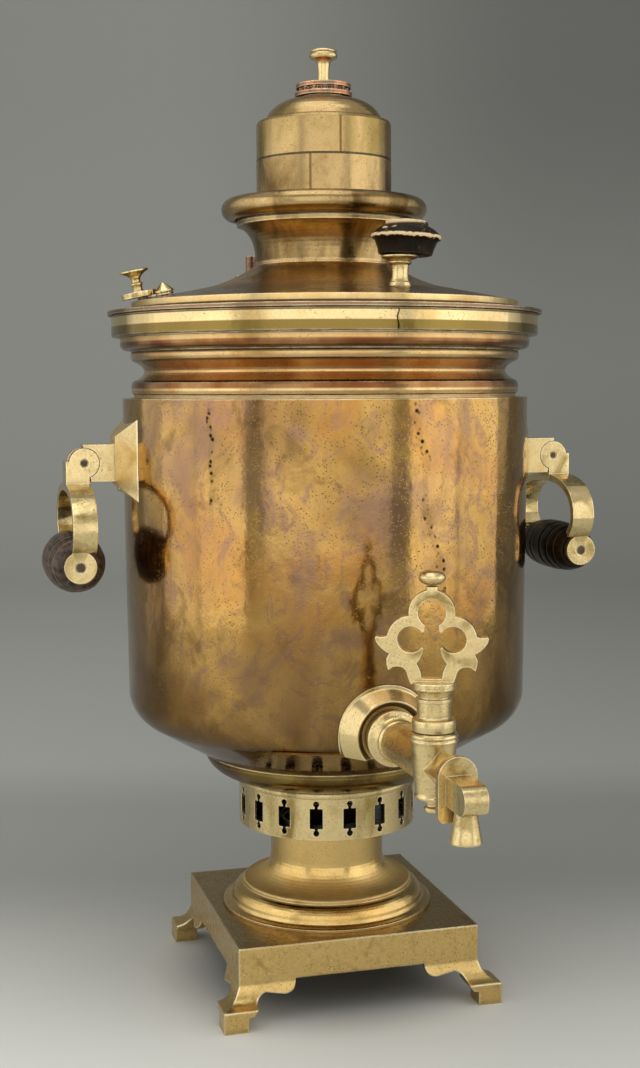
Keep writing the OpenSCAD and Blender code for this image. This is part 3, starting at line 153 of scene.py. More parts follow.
class Graph:
    """One material and its nodes, which are linked as they are added."""

    def __init__(self, name):
        self.material = bpy.data.materials.new(name)
        self.material.use_nodes = True
        self.tree = self.material.node_tree
        self.tree.nodes.clear()
        self.shader = self.tree.nodes.new("ShaderNodeBsdfPrincipled")
        end = self.tree.nodes.new("ShaderNodeOutputMaterial")
        self.tree.links.new(self.shader.outputs["BSDF"], end.inputs["Surface"])
        self.place = self.tree.nodes.new("ShaderNodeTexCoord").outputs["Object"]
        self.haze = 0.0

    def give(self, socket, value):
        """Links an output to the socket, or sets the socket to a number or colour."""
        if isinstance(value, bpy.types.NodeSocket):
            self.tree.links.new(value, socket)
        elif hasattr(value, "__len__") and len(value) == 3 and len(socket.default_value) == 4:
            socket.default_value = (*value, 1)
        else:
            socket.default_value = value

    def math(self, operation, *values):
        node = self.tree.nodes.new("ShaderNodeMath")
        node.operation = operation
        for socket, value in zip(node.inputs, values):
            self.give(socket, value)
        return node.outputs["Value"]

    def plus(self, first, second):
        return self.math("ADD", first, second)

    def minus(self, first, second):
        return self.math("SUBTRACT", first, second)

    def times(self, first, second):
        return self.math("MULTIPLY", first, second)

    def axes(self):
        """The object's own x, y and z at the point, in metres."""
        node = self.tree.nodes.new("ShaderNodeSeparateXYZ")
        self.give(node.inputs["Vector"], self.place)
        return node.outputs

    def noise(self, scale, detail=3.0, stretch=(1, 1, 1), twist=0.0, rough=0.55, shift=(0, 0, 0)):
        """Cloudy noise from 0 to 1; scale counts its features per metre."""
        mapping = self.tree.nodes.new("ShaderNodeMapping")
        self.give(mapping.inputs["Vector"], self.place)
        mapping.inputs["Scale"].default_value = stretch
        mapping.inputs["Location"].default_value = shift
        node = self.tree.nodes.new("ShaderNodeTexNoise")
        self.give(node.inputs["Vector"], mapping.outputs["Vector"])
        self.give(node.inputs["Scale"], scale)
        self.give(node.inputs["Detail"], detail)
        self.give(node.inputs["Roughness"], rough)
        self.give(node.inputs["Distortion"], twist)
        return node.outputs["Fac"]

    def waver(self, scale, detail, wide, shift=(0, 0, 0)):
        """Noise that swings to either side of 0, by half of wide at most."""
        return self.times(self.minus(self.noise(scale, detail, shift=shift), 0.5), wide)

    def dots(self, scale, size, thinning):
        """1 inside scattered round spots and 0 outside.

        size is a share of their spacing, and more of them are left out where thinning is higher.
        """
        node = self.tree.nodes.new("ShaderNodeTexVoronoi")
        self.give(node.inputs["Vector"], self.place)
        self.give(node.inputs["Scale"], scale)
        spot = self.span(node.outputs["Distance"], size, size * 0.4)
        kept = self.span(self.noise(scale * 0.13, 2, shift=(3, 1, 7)), thinning, thinning + 0.06)
        return self.times(spot, kept)

    def span(self, value, low, high, to_low=0.0, to_high=1.0):
        """value smoothly brought from low..high to to_low..to_high."""
        node = self.tree.nodes.new("ShaderNodeMapRange")
        node.interpolation_type = "SMOOTHSTEP"
        for name, given in (("Value", value), ("From Min", low), ("From Max", high),
                            ("To Min", to_low), ("To Max", to_high)):
            self.give(node.inputs[name], given)
        return node.outputs["Result"]

    def band(self, value, middle, half, soft):
        """1 where value is within half of middle, falling to 0 over soft."""
        away = self.math("ABSOLUTE", self.minus(value, middle))
        return self.span(away, half + soft, half)

    def mix(self, share, first, second):
        node = self.tree.nodes.new("ShaderNodeMix")
        node.data_type = "RGBA"
        self.give(node.inputs["Factor"], share)
        self.give(node.inputs[6], first)
        self.give(node.inputs[7], second)
        return node.outputs[2]

    def reach(self, centre=(0, 0)):
        """Distance of the point from an upright axis, which is the urn's own if none is given."""
        axes = self.axes()
        away = [self.minus(axes[name], at) for name, at in zip("XY", centre)]
        return self.math("SQRT", self.plus(*[self.times(one, one) for one in away]))

    def heading(self):
        """Angle of the point round the urn's axis, in degrees from the front."""
        axes = self.axes()
        angle = self.math("DEGREES", self.math("ARCTAN2", axes["Y"], axes["X"]))
        return self.math("WRAP", self.minus(angle, math.degrees(FACING)), 180.0, -180.0)

    def soft_edges(self, radius):
        """The surface direction with its edges rounded off by radius."""
        node = self.tree.nodes.new("ShaderNodeBevel")
        node.samples = 4
        node.inputs["Radius"].default_value = radius
        return node.outputs["Normal"]

    def edges(self, rounded):
        """1 on sharp edges and 0 on flat places."""
        flat = self.tree.nodes.new("ShaderNodeNewGeometry").outputs["Normal"]
        node = self.tree.nodes.new("ShaderNodeVectorMath")
        node.operation = "DOT_PRODUCT"
        self.give(node.inputs[0], rounded)
        self.give(node.inputs[1], flat)
        return self.span(node.outputs["Value"], 0.995, 0.86)

    def hollows(self, width):
        """1 in grooves and corners narrower than width, and 0 on open places."""
        node = self.tree.nodes.new("ShaderNodeAmbientOcclusion")
        node.samples = 6
        node.inputs["Distance"].default_value = width
        return self.span(node.outputs["AO"], 0.8, 0.3)

    def relief(self, height, depth, strength=1.0, normal=None):
        """The surface direction with height, 0 to 1, raised by depth metres."""
        node = self.tree.nodes.new("ShaderNodeBump")
        self.give(node.inputs["Height"], height)
        self.give(node.inputs["Distance"], depth)
        self.give(node.inputs["Strength"], strength)
        if normal is not None:
            self.give(node.inputs["Normal"], normal)
        return node.outputs["Normal"]

    def end(self, colour, rough, normal, metallic=1.0):
        self.give(self.shader.inputs["Base Color"], colour)
        self.give(self.shader.inputs["Roughness"], rough)
        self.give(self.shader.inputs["Normal"], normal)
        self.give(self.shader.inputs["Metallic"], metallic)
        return self.material


def worn_metal(name, bright, dull, dark, patch, cover, rough, pits, streak=(1, 1, 1), rings=0.0,
               marks=None, waves=0.0012, dimples=0.00012, blunt=1.0, wear=1.0):
    """Aged metal: a bright ground with dull patches, dark dirt and painted shade in its hollows, and
    rubbed edges with a painted highlight.

    patch counts the patches per metre, cover is the share that is dull, streak stretches the
    patches, pits is how thick the dark pits stand, rings is how strong the turning lines are,
    waves and dimples are how uneven the surface is, from far and from near, and blunt and wear
    are how round and how rubbed the edges are against the usual.
    marks may darken or lighten places of its own, or haze them through the graph's haze: it takes
    the graph and the colour.
    """
    chosen = settings()
    graph = Graph(name)
    rounded = graph.soft_edges(chosen.edge * blunt)
    edge = graph.edges(graph.soft_edges(chosen.edge * max(2.5, blunt)))
    hollow = graph.hollows(METAL_GROOVE)

    cloud = graph.noise(patch, 6, streak, twist=0.6)
    mottle = graph.noise(patch * 7, 5, shift=(2, 5, 1))
    grain = graph.noise(1100, 2, shift=(5, 2, 8))
    spots = graph.dots(700, 0.2 + 0.12 * pits, 0.62 - 0.2 * pits)
    colour = graph.mix(graph.span(cloud, 0.62 - 0.3 * cover, 0.86 - 0.3 * cover), bright, dull)
    colour = graph.mix(graph.span(mottle, 0.5, 0.8, 0, 0.35), colour, dull)
    colour = graph.mix(graph.span(grain, 0.35, 0.75, 0, 0.16), colour, dark)
    colour = graph.mix(graph.times(spots, 0.3 + 0.4 * pits), colour, dark)
    if marks:
        colour = marks(graph, colour)
    # Dirt and painted shade: the hollows are darkened towards the dark colour.
    colour = graph.mix(graph.times(hollow, chosen.grime_and_shade), colour, dark)
    patchy = graph.span(graph.noise(90, 3), 0.35, 0.6, 0.45, 1.0)
    # Rubbed edges: worn bright metal and a painted highlight.
    rub_and_highlight = graph.times(graph.times(edge, chosen.wear * wear), patchy)
    colour = graph.mix(rub_and_highlight, colour, chosen.rubbed)

    scratch = graph.noise(260, 3, (1, 1, 0.06), twist=0.3, shift=(1, 4, 2))
    uneven = graph.plus(cloud, graph.times(mottle, 0.5))
    finish = graph.span(uneven, 0.45, 1.05, rough * 0.75, rough * 1.6)
    finish = graph.plus(finish, graph.times(graph.span(scratch, 0.5, 0.8), 0.08))
    finish = graph.plus(finish, graph.times(hollow, 0.3))
    finish = graph.minus(finish, graph.times(rub_and_highlight, 0.08))
    finish = graph.plus(finish, graph.haze)

    normal = graph.relief(graph.noise(14, 2, shift=(4, 4, 4)), waves, 1.0, rounded)
    normal = graph.relief(graph.noise(150, 4, shift=(7, 1, 3)), dimples, 1.0, normal)
    normal = graph.relief(graph.minus(1.0, spots), 0.00008, 0.6, normal)
    normal = graph.relief(scratch, 0.00003, 0.7, normal)
    if rings:
        lines = graph.noise(2.0, 4, (2, 2, 420), shift=(0, 0, 5))
        normal = graph.relief(lines, 0.00006, rings, normal)
    return graph.end(colour, finish, normal)


def turned_wood(name, ground, dark, worn, along, marks, gloss):
    """Old turned wood whose grain runs along the axis named: a dark finish, rubbed at the edges, with
    dirt and painted shade in its grooves.

    marks shows worn places of its own: it takes the graph and the colour. gloss is how much of
    the light the finish throws back.
    """
    chosen = settings()
    graph = Graph(name)
    rounded = graph.soft_edges(chosen.edge)
    edge = graph.edges(rounded)
    hollow = graph.hollows(WOOD_GROOVE)
    stretch = {"y": (1, 0.08, 1), "z": (1, 1, 0.08)}[along]
    grain = graph.noise(420, 5, stretch, twist=0.4)
    colour = graph.mix(graph.span(grain, 0.35, 0.7), dark, ground)
    patches = graph.span(graph.noise(70, 5, shift=(9, 2, 4)), 0.55, 0.75)
    rubbed = graph.times(patches, graph.span(grain, 0.4, 0.65, 0.05, 0.35))
    colour = graph.mix(rubbed, colour, worn)
    colour = graph.mix(graph.times(edge, 0.8), colour, worn)
    colour = marks(graph, colour)
    # Dirt and painted shade: the grooves are darkened towards soot.
    colour = graph.mix(graph.times(hollow, 0.7), colour, chosen.soot)
    finish = graph.span(patches, 0, 1, 0.3, 0.55)
    graph.give(graph.shader.inputs["Specular IOR Level"], gloss)
    normal = graph.relief(grain, 0.00015, 0.8, rounded)
    normal = graph.relief(graph.noise(60, 3, shift=(1, 8, 1)), 0.0006, 0.8, normal)
    return graph.end(colour, finish, normal, 0.0)


def drum_marks(graph, colour):
    """Heat colours of the drum, its browner foot and two columns of pits."""
    chosen = settings()
    heading = graph.heading()
    high = graph.axes()["Z"]
    flame = graph.noise(16, 8, (1, 1, 0.6), twist=1.2, shift=(0.4, 0.1, 0.2))
    bloom = graph.noise(24, 6, (1, 1, 0.85), twist=1.0, shift=(8, 2, 5))
    cloud = graph.noise(9, 5, (1, 1, 0.7), twist=1.0, shift=(2, 7, 3))
    lacework = graph.noise(75, 8, (1, 1, 0.8), twist=1.2, rough=0.7, shift=(3, 3, 3))
    smoke = graph.noise(42, 7, (1, 1, 0.75), twist=1.1, rough=0.65, shift=(1, 9, 4))
    for stain, start, full, share, tint in (
        (flame, 0.46, 0.62, 0.6, chosen.amber),
        (bloom, 0.48, 0.7, 0.7, chosen.plum),
        (cloud, 0.45, 0.75, 0.5, chosen.plum),
        (lacework, 0.5, 0.64, 0.6, chosen.plum),
        (smoke, 0.52, 0.68, 0.5, chosen.umber),
    ):
        colour = graph.mix(graph.span(stain, start, full, 0, share), colour, tint)
    low = graph.span(high, 0.235, 0.125, 0, 0.95)
    colour = graph.mix(graph.times(low, graph.span(flame, 0.25, 0.6, 0.35, 1)), colour, chosen.umber)

    pitted = graph.dots(340, 0.46, 0.38)
    for at, wide, bottom, top, lean in ((-30.5, 0.45, 0.252, 0.292, 0), (26.0, 0.7, 0.212, 0.294, 6.5)):
        sway = graph.waver(34, 2, 11.0, shift=(at, 0, 0))
        sway = graph.minus(sway, graph.span(high, 0.262, bottom, 0, lean))
        across = graph.band(graph.plus(heading, sway), at, wide, 0.5)
        along = graph.band(high, (bottom + top) / 2, (top - bottom) / 2, 0.012)
        here = graph.times(across, along)
        colour = graph.mix(graph.times(here, 0.2), colour, chosen.umber)
        colour = graph.mix(graph.times(here, pitted), colour, chosen.soot)
    return colour


def neck_marks(graph, colour):
    """Tarnish and painted shade on the neck by depth under its top edge, painted shade lines in its
    crevices, and the crack in its band.
    """
    chosen = settings()
    high = graph.axes()["Z"]
    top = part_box("neck_ring")[1][2]
    patchy = graph.span(graph.noise(40, 4, (1, 1, 0.3)), 0.3, 0.7, 0.6, 1.0)
    # Tarnish and painted shade: amber and red-brown bands by depth under the top edge.
    for depth, half, warm, brown in (
        (0.0125, 0.0012, 0.5, 0.15),
        (0.0160, 0.0018, 0.8, 0.95),
        (0.0207, 0.0012, 0.45, 0.2),
        (0.0249, 0.0021, 0.8, 0.85),
        (0.0303, 0.0024, 0.55, 0.0),
        (0.0344, 0.0011, 0.8, 0.95),
        (0.0385, 0.0008, 0.5, 0.2),
    ):
        here = graph.times(graph.band(high, top - depth, half, 0.0012), patchy)
        colour = graph.mix(graph.times(here, warm), colour, chosen.amber)
        colour = graph.mix(graph.times(here, brown), colour, chosen.rust)
    # Painted shade: an olive strip on the lower part of the band.
    shaded_strip = graph.band(high, top - 0.0082, 0.0021, 0.0007)
    colour = graph.mix(shaded_strip, colour, graph.mix(0.25, chosen.olive, chosen.umber))
    # Painted shade: dark lines in the crevices between the mouldings and right under the lid's lip.
    for depth, half in (
        (0.0006, 0.0006), (0.0107, 0.0004), (0.0176, 0.0005), (0.0226, 0.0003), (0.0328, 0.0004)
    ):
        line = graph.band(high, top - depth, half, 0.0004)
        colour = graph.mix(graph.times(line, 0.8), colour, chosen.soot)
    crack = graph.band(graph.plus(graph.heading(), graph.waver(160, 3, 1.6)), 17.7, 0.12, 0.16)
    crack = graph.times(crack, graph.band(high, top - 0.0055, 0.0045, 0.0008))
    return graph.mix(crack, colour, chosen.soot)


def lid_marks(graph, colour):
    """The lid's brown roof, its rim that is wiped clean, and painted shade on its lip under a painted
    shade line.
    """
    chosen = settings()
    high = graph.axes()["Z"]
    out = graph.reach()
    roof_end, rim_start, rim_side = 0.094, 0.0965, 0.0985
    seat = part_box("neck_ring")[1][2]
    lip_top = seat + 0.0031
    wiped = graph.span(graph.noise(60, 4, shift=(2, 2, 2)), 0.35, 0.65, 0.5, 1.0)
    clean = graph.times(graph.span(out, roof_end, rim_start, 0, 0.8), wiped)
    colour = graph.mix(clean, colour, chosen.cream)
    roof = graph.span(out, rim_start, roof_end, 0, 0.75)
    cleaner = graph.span(high, seat + 0.0109, seat + 0.0164, 1.0, 0.35)
    colour = graph.mix(graph.times(roof, cleaner), colour, chosen.umber)
    # Painted shade on the lip under the rim.
    below = graph.span(high, lip_top + 0.0002, lip_top - 0.0004)
    lip = graph.times(graph.span(out, roof_end, rim_start), below)
    colour = graph.mix(graph.times(lip, 0.9), colour, graph.mix(0.35, chosen.plum, chosen.umber))
    # Painted shade: a dark line in the step of the rim above the lip.
    line = graph.band(out, rim_side, 0.0008, 0.0006)
    line = graph.times(line, graph.band(high, lip_top, 0.0003, 0.0004))
    return graph.mix(graph.times(line, 0.85), colour, chosen.soot)


def pedestal_marks(graph, colour):
    """A haze of tarnish on the shoulder, inside the foot's roll."""
    facing = graph.tree.nodes.new("ShaderNodeSeparateXYZ")
    surface = graph.tree.nodes.new("ShaderNodeNewGeometry")
    graph.give(facing.inputs["Vector"], surface.outputs["Normal"])
    upward = graph.span(facing.outputs["Z"], 0.35, 0.75, 0, 0.36)
    graph.haze = graph.times(upward, graph.span(graph.reach(), 0.0455, 0.044))
    return colour


def base_marks(graph, colour):
    """The base's top is browner than its sides."""
    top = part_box("base_plinth")[1][2]
    share = graph.span(graph.axes()["Z"], top - 0.0006, top - 0.0002, 0, 0.45)
    return graph.mix(share, colour, settings().umber)


def collar_marks(graph, colour):
    """Soot and painted shade behind the collar's outer face, which stands in under its bead, so that
    its slots look black inside.
    """
    low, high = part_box("collar")
    face = (high[0] - low[0]) / 2 - 0.0015
    inside = graph.span(graph.reach(), face - 0.0004, face - 0.0009)
    # Near-black soot and painted shade inside the collar.
    return graph.mix(inside, colour, (0.001, 0.001, 0.001))


def seam_marks(at, bottom, top, joint):
    """A folded seam, dark and upright between two heights, and the dark line of a joint round it."""

    def marks(graph, colour):
        high = graph.axes()["Z"]
        line = graph.band(graph.heading(), at, 0.7, 0.6)
        line = graph.times(line, graph.band(high, (bottom + top) / 2, (top - bottom) / 2, 0.0005))
        colour = graph.mix(graph.times(line, 0.75), colour, settings().umber)
        ring = graph.band(high, joint, 0.0004, 0.0003)
        return graph.mix(graph.times(ring, 0.9), colour, settings().soot)

    return marks


def turned(name, outline, around):
    """A solid turned about Z from pairs of radius and height, with that many sides."""
    bpy.ops.object.select_all(action="DESELECT")
    radius, height = outline[0]
    bpy.ops.mesh.primitive_circle_add(
        vertices=around, radius=radius, fill_type="NGON", location=(0, 0, height))
    bpy.ops.object.transform_apply(location=True, rotation=False, scale=False)
    piece = bpy.context.object
    piece.name = name
    piece.data.name = name
    bpy.ops.object.mode_set(mode="EDIT")
    bpy.ops.mesh.select_mode(type="FACE")
    bpy.ops.mesh.select_all(action="SELECT")
    for (last, low), (wide, high) in zip(outline, outline[1:]):
        bpy.ops.mesh.extrude_region_move(TRANSFORM_OT_translate={"value": (0, 0, high - low)})
        share = wide / last
        bpy.ops.transform.resize(value=(share, share, 1), center_override=(0, 0, high))
    bpy.ops.mesh.select_all(action="SELECT")
    bpy.ops.mesh.normals_make_consistent(inside=False)
    bpy.ops.object.mode_set(mode="OBJECT")
    return piece


def dent(piece, depth, across):
    """Wears the surface in by up to depth, in hollows about that far across."""
    clouds = bpy.data.textures.new(f"{piece.name}_wear", "CLOUDS")
    clouds.noise_scale = across
    clouds.noise_depth = 3
    modifier = piece.modifiers.new("wear", "DISPLACE")
    modifier.texture = clouds
    modifier.texture_coords = "LOCAL"
    modifier.mid_level = 1.0
    modifier.strength = depth
    bpy.ops.object.modifier_apply(modifier=modifier.name)


def turn_and_place(piece, angle, axis, place):
    """Turns the mesh about the origin and moves it to place; the object stays where it is."""
    bpy.ops.object.mode_set(mode="EDIT")
    bpy.ops.mesh.select_all(action="SELECT")
    bpy.ops.transform.rotate(value=angle, orient_axis=axis, center_override=(0, 0, 0))
    bpy.ops.transform.translate(value=place)
    bpy.ops.object.mode_set(mode="OBJECT")


def merged_copy(node):
    """A copy of a fixed piece with its triangles joined, so that its curves can be shaded smooth."""
    bpy.ops.object.select_all(action="DESELECT")
    piece = bpy.data.objects.new(f"smooth_{node}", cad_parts[node].data.copy())
    piece.data.name = piece.name
    piece.data.materials.clear()
    bpy.context.scene.collection.objects.link(piece)
    piece.select_set(True)
    bpy.context.view_layer.objects.active = piece
    bpy.ops.object.mode_set(mode="EDIT")
    bpy.ops.mesh.select_all(action="SELECT")
    bpy.ops.mesh.remove_doubles(threshold=0.00001)
    bpy.ops.object.mode_set(mode="OBJECT")
    return piece


def complete(piece, material, body, node, crease=40):
    """Gives a new piece its material, its body and the fixed piece that it stands for.

    Edges that turn by more than crease degrees stay sharp.
    """
    piece.data.materials.append(material)
    bpy.ops.object.shade_smooth_by_angle(angle=math.radians(crease))
    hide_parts(node)
    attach(piece, body)


def finish_nodes(names, material):
    """Gives the material to the fixed pieces named."""
    for name in names:
        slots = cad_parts[name].material_slots
        if not slots:
            raise RuntimeError(f"{name} has no material slot")
        for slot in slots:
            slot.material = material


class FinishOperator:
    """What the finishing operators share."""

    bl_options = {"REGISTER", "UNDO"}

    def execute(self, context):
        self.build(context.scene.samovar)
        return {"FINISHED"}


class SAMOVAR_OT_base(FinishOperator, bpy.types.Operator):
    """Finish the base, the pedestal and the screws under it"""

    bl_idname = "samovar.base"
    bl_label = "Base and pedestal"

    def build(self, chosen):
        finish_nodes(("base_plinth",), worn_metal(
            "base_brass", chosen.honey, chosen.umber, chosen.soot, patch=50, cover=0.25,
            rough=0.24, pits=0.8, marks=base_marks, blunt=4.0, wear=1.6))
        finish_nodes(("pedestal",), worn_metal(
            "pedestal_brass", chosen.honey, chosen.gold, chosen.umber, patch=34, cover=0.45,
            rough=0.18, pits=0.3, rings=0.4, marks=pedestal_marks))
        finish_nodes(("base_screws", "grate"), worn_metal(
            "rough_iron", chosen.steel, chosen.umber, chosen.soot, patch=120, cover=0.8,
            rough=0.5, pits=1.0))


class SAMOVAR_OT_collar(FinishOperator, bpy.types.Operator):
    """Finish the perforated collar and the bowl over it"""

    bl_idname = "samovar.collar"
    bl_label = "Collar and bowl"

    def build(self, chosen):
        finish_nodes(("collar",), worn_metal(
            "collar_brass", chosen.straw, chosen.olive, chosen.soot, patch=46, cover=0.42,
            streak=(1, 1, 0.3), rough=0.2, pits=0.6, rings=0.5, marks=collar_marks))
        finish_nodes(("bowl",), worn_metal(
            "bowl_brass", chosen.olive, chosen.umber, chosen.soot, patch=30, cover=1.0,
            rough=0.2, pits=0.4, rings=0.8))


class SAMOVAR_OT_drum(FinishOperator, bpy.types.Operator):
    """Finish the water drum and its moulded neck"""

    bl_idname = "samovar.drum"
    bl_label = "Drum and neck"

    def build(self, chosen):
        finish_nodes(("vessel", "fire_tube"), worn_metal(
            "drum_brass", chosen.gold, chosen.umber, chosen.soot, patch=11, cover=0.3,
            streak=(1, 1, 0.6), rough=0.095, pits=0.85, marks=drum_marks,
            waves=0.0006, dimples=0.00009))
        finish_nodes(("neck_ring",), worn_metal(
            "neck_brass", chosen.cream, chosen.gold, chosen.umber, patch=26, cover=0.4,
            streak=(1, 1, 0.3), rough=0.17, pits=0.6, rings=0.8, marks=neck_marks))


class SAMOVAR_OT_lid(FinishOperator, bpy.types.Operator):
    """Finish the lid, its knob stems and the vent on it"""

    bl_idname = "samovar.lid"
    bl_label = "Lid"

    def build(self, chosen):
        finish_nodes(("lid", "vent_seat"), worn_metal(
            "lid_brass", chosen.gold, chosen.amber, chosen.umber, patch=26, cover=0.5,
            rough=0.22, pits=0.6, rings=0.8, marks=lid_marks))
        finish_nodes(("knob_stems", "vent_cover", "vent_button", "vent_pivot"), worn_metal(
            "small_turned_brass", chosen.straw, chosen.olive, chosen.umber, patch=90, cover=0.4,
            rough=0.18, pits=0.5, rings=0.4))


class SAMOVAR_OT_knob(FinishOperator, bpy.types.Operator):
    """Turn the lid's wood knob, with its chipped rim and bead"""

    bl_idname = "samovar.knob"
    bl_label = "Lid knob"

    def build(self, chosen):
        low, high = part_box("lid_knob")
        middle = [(low[i] + high[i]) / 2 for i in range(2)]
        radius = (high[0] - low[0]) / 2
        tall = high[2] - low[2]
        outline = (
            (0.05, 0.0), (0.70, 0.0), (0.76, 0.03), (0.80, 0.20), (0.87, 0.38), (0.90, 0.425),
            (0.95, 0.44), (0.985, 0.48), (0.99, 0.54), (0.97, 0.585), (0.935, 0.60), (0.93, 0.625),
            (0.88, 0.68), (0.78, 0.76), (0.66, 0.83), (0.60, 0.865), (0.61, 0.90), (0.60, 0.955),
            (0.55, 0.99), (0.44, 0.985), (0.40, 0.95), (0.05, 0.955),
        )
        knob = turned("turned_lid_knob", [(radius * r, tall * z) for r, z in outline], 72)
        dent(knob, chosen.chips, 0.003)
        turn_and_place(knob, -chosen.knob_tilt, "Y", (*middle, low[2]))

        def bare_rim(graph, colour):
            axes = graph.axes()
            ragged = graph.waver(420, 4, 0.003)
            out = graph.plus(graph.reach(middle), ragged)
            leaning = graph.times(graph.minus(axes["X"], middle[0]), math.sin(chosen.knob_tilt))
            level = graph.plus(graph.plus(axes["Z"], leaning), ragged)
            rim = graph.times(graph.span(out, radius * 0.9, radius * 0.94),
                              graph.band(level, low[2] + tall * 0.53, tall * 0.036, 0.0004))
            bead = graph.times(graph.band(out, radius * 0.53, radius * 0.07, 0.0006),
                               graph.span(axes["Z"], low[2] + tall * 0.86, low[2] + tall * 0.92))
            nick = graph.noise(240, 2, (0.5, 0.5, 1.6), shift=(3, 1, 2))
            scuff = graph.noise(190, 2, (1, 1, 0.3), twist=3.0, shift=(6, 2, 9))
            few = graph.span(graph.noise(130, 1, shift=(4, 4, 1)), 0.52, 0.62, 0, 0.7)
            bare = graph.math("MAXIMUM", rim, bead)
            bare = graph.math("MAXIMUM", bare, graph.span(nick, 0.69, 0.72, 0, 0.8))
            bare = graph.math("MAXIMUM", bare, graph.times(graph.band(scuff, 0.6, 0.001, 0.005), few))
            return graph.mix(bare, colour, chosen.bare_wood)

        wood = turned_wood(
            "knob_wood", chosen.ebony, chosen.soot, chosen.worn_wood, "z", bare_rim, gloss=0.09)
        complete(knob, wood, "lid_body", "lid_knob")


class SAMOVAR_OT_crown(FinishOperator, bpy.types.Operator):
    """Finish the crown, the cap and its button"""

    bl_idname = "samovar.crown"
    bl_label = "Crown and cap"

    def build(self, chosen):
        foot, joint = (corner[2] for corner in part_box("cap_sleeve"))
        finish_nodes(("crown",), worn_metal(
            "crown_brass", chosen.bronze, chosen.umber, chosen.soot, patch=30, cover=0.75,
            streak=(1, 1, 0.4), rough=0.2, pits=0.6, rings=0.6))
        finish_nodes(("cap_sleeve",), worn_metal(
            "sleeve_brass", chosen.bronze, chosen.umber, chosen.umber, patch=36, cover=0.45,
            streak=(1, 1, 0.4), rough=0.2, pits=0.5, rings=0.6, wear=0.2,
            marks=seam_marks(-11, foot + 0.0004, joint - 0.0006, joint)))
        finish_nodes(("cap", "cap_nut"), worn_metal(
            "cap_brass", chosen.bronze, chosen.olive, chosen.umber, patch=36, cover=0.5,
            streak=(1, 1, 0.5), rough=0.2, pits=0.6, rings=0.6, wear=0.2,
            marks=seam_marks(14, joint, joint + 0.0176, joint)))
        finish_nodes(("cap_washer",), worn_metal(
            "old_copper", chosen.rose, chosen.plum, chosen.soot, patch=140, cover=0.6,
            rough=0.28, pits=0.8))
        finish_nodes(("knob_bolts",), worn_metal(
            "bolt_copper", chosen.plum, chosen.umber, chosen.soot, patch=140, cover=0.6,
            rough=0.35, pits=0.8))
        finish_nodes(("cap_finial",), worn_metal(
            "finial_brass", chosen.straw, chosen.gold, chosen.umber, patch=90, cover=0.4,
            rough=0.16, pits=0.4, rings=0.6))


class SAMOVAR_OT_tap(FinishOperator, bpy.types.Operator):
    """Finish the tap, its flange and the parts of it inside the drum"""

    bl_idname = "samovar.tap"
    bl_label = "Tap"

    def build(self, chosen):
        finish_nodes(("tap_body",), worn_metal(
            "tap_brass", chosen.straw, chosen.olive, chosen.umber, patch=70, cover=0.45,
            rough=0.22, pits=0.7))
        finish_nodes(("tap_flange",), worn_metal(
            "flange_brass", chosen.straw, chosen.gold, chosen.umber, patch=60, cover=0.4,
            rough=0.16, pits=0.6))
        finish_nodes(("tap_saddle", "tap_locknut", "handle_nuts"), worn_metal(
            "inside_brass", chosen.gold, chosen.umber, chosen.soot, patch=60, cover=0.6,
            rough=0.3, pits=0.8))


class SAMOVAR_OT_key(FinishOperator, bpy.types.Operator):
    """Finish the tap's key with its washer and nut"""

    bl_idname = "samovar.key"
    bl_label = "Tap key"

    def build(self, chosen):
        finish_nodes(("tap_key", "key_nut", "key_washer"), worn_metal(
            "key_brass", chosen.straw, chosen.olive, chosen.umber, patch=80, cover=0.4,
            rough=0.24, pits=0.6))


class SAMOVAR_OT_handles(FinishOperator, bpy.types.Operator):
    """Finish both swing handles with their plates, bows, pins and iron grip rods"""

    bl_idname = "samovar.handles"
    bl_label = "Handles"

    def build(self, chosen):
        finish_nodes(("handle_plate_l", "handle_plate_r"), worn_metal(
            "plate_brass", chosen.straw, chosen.gold, chosen.umber, patch=50, cover=0.4,
            rough=0.3, pits=0.6))
        brass = worn_metal(
            "bow_brass", chosen.straw, chosen.olive, chosen.umber, patch=50, cover=0.4,
            rough=0.2, pits=0.6, blunt=1.6)
        for side in "lr":
            bow = merged_copy(f"bow_{side}")
            complete(bow, brass, f"handle_{side}", f"bow_{side}", crease=16)
            modifier = bow.modifiers.new("flat_faces_flat", "WEIGHTED_NORMAL")
            modifier.weight = 100
            modifier.keep_sharp = True
            bpy.ops.object.modifier_apply(modifier=modifier.name)
        finish_nodes(("hinge_pins", "grip_rod_l", "grip_rod_r"), worn_metal(
            "pin_iron", chosen.steel, chosen.umber, chosen.soot, patch=200, cover=0.7,
            rough=0.4, pits=1.0))


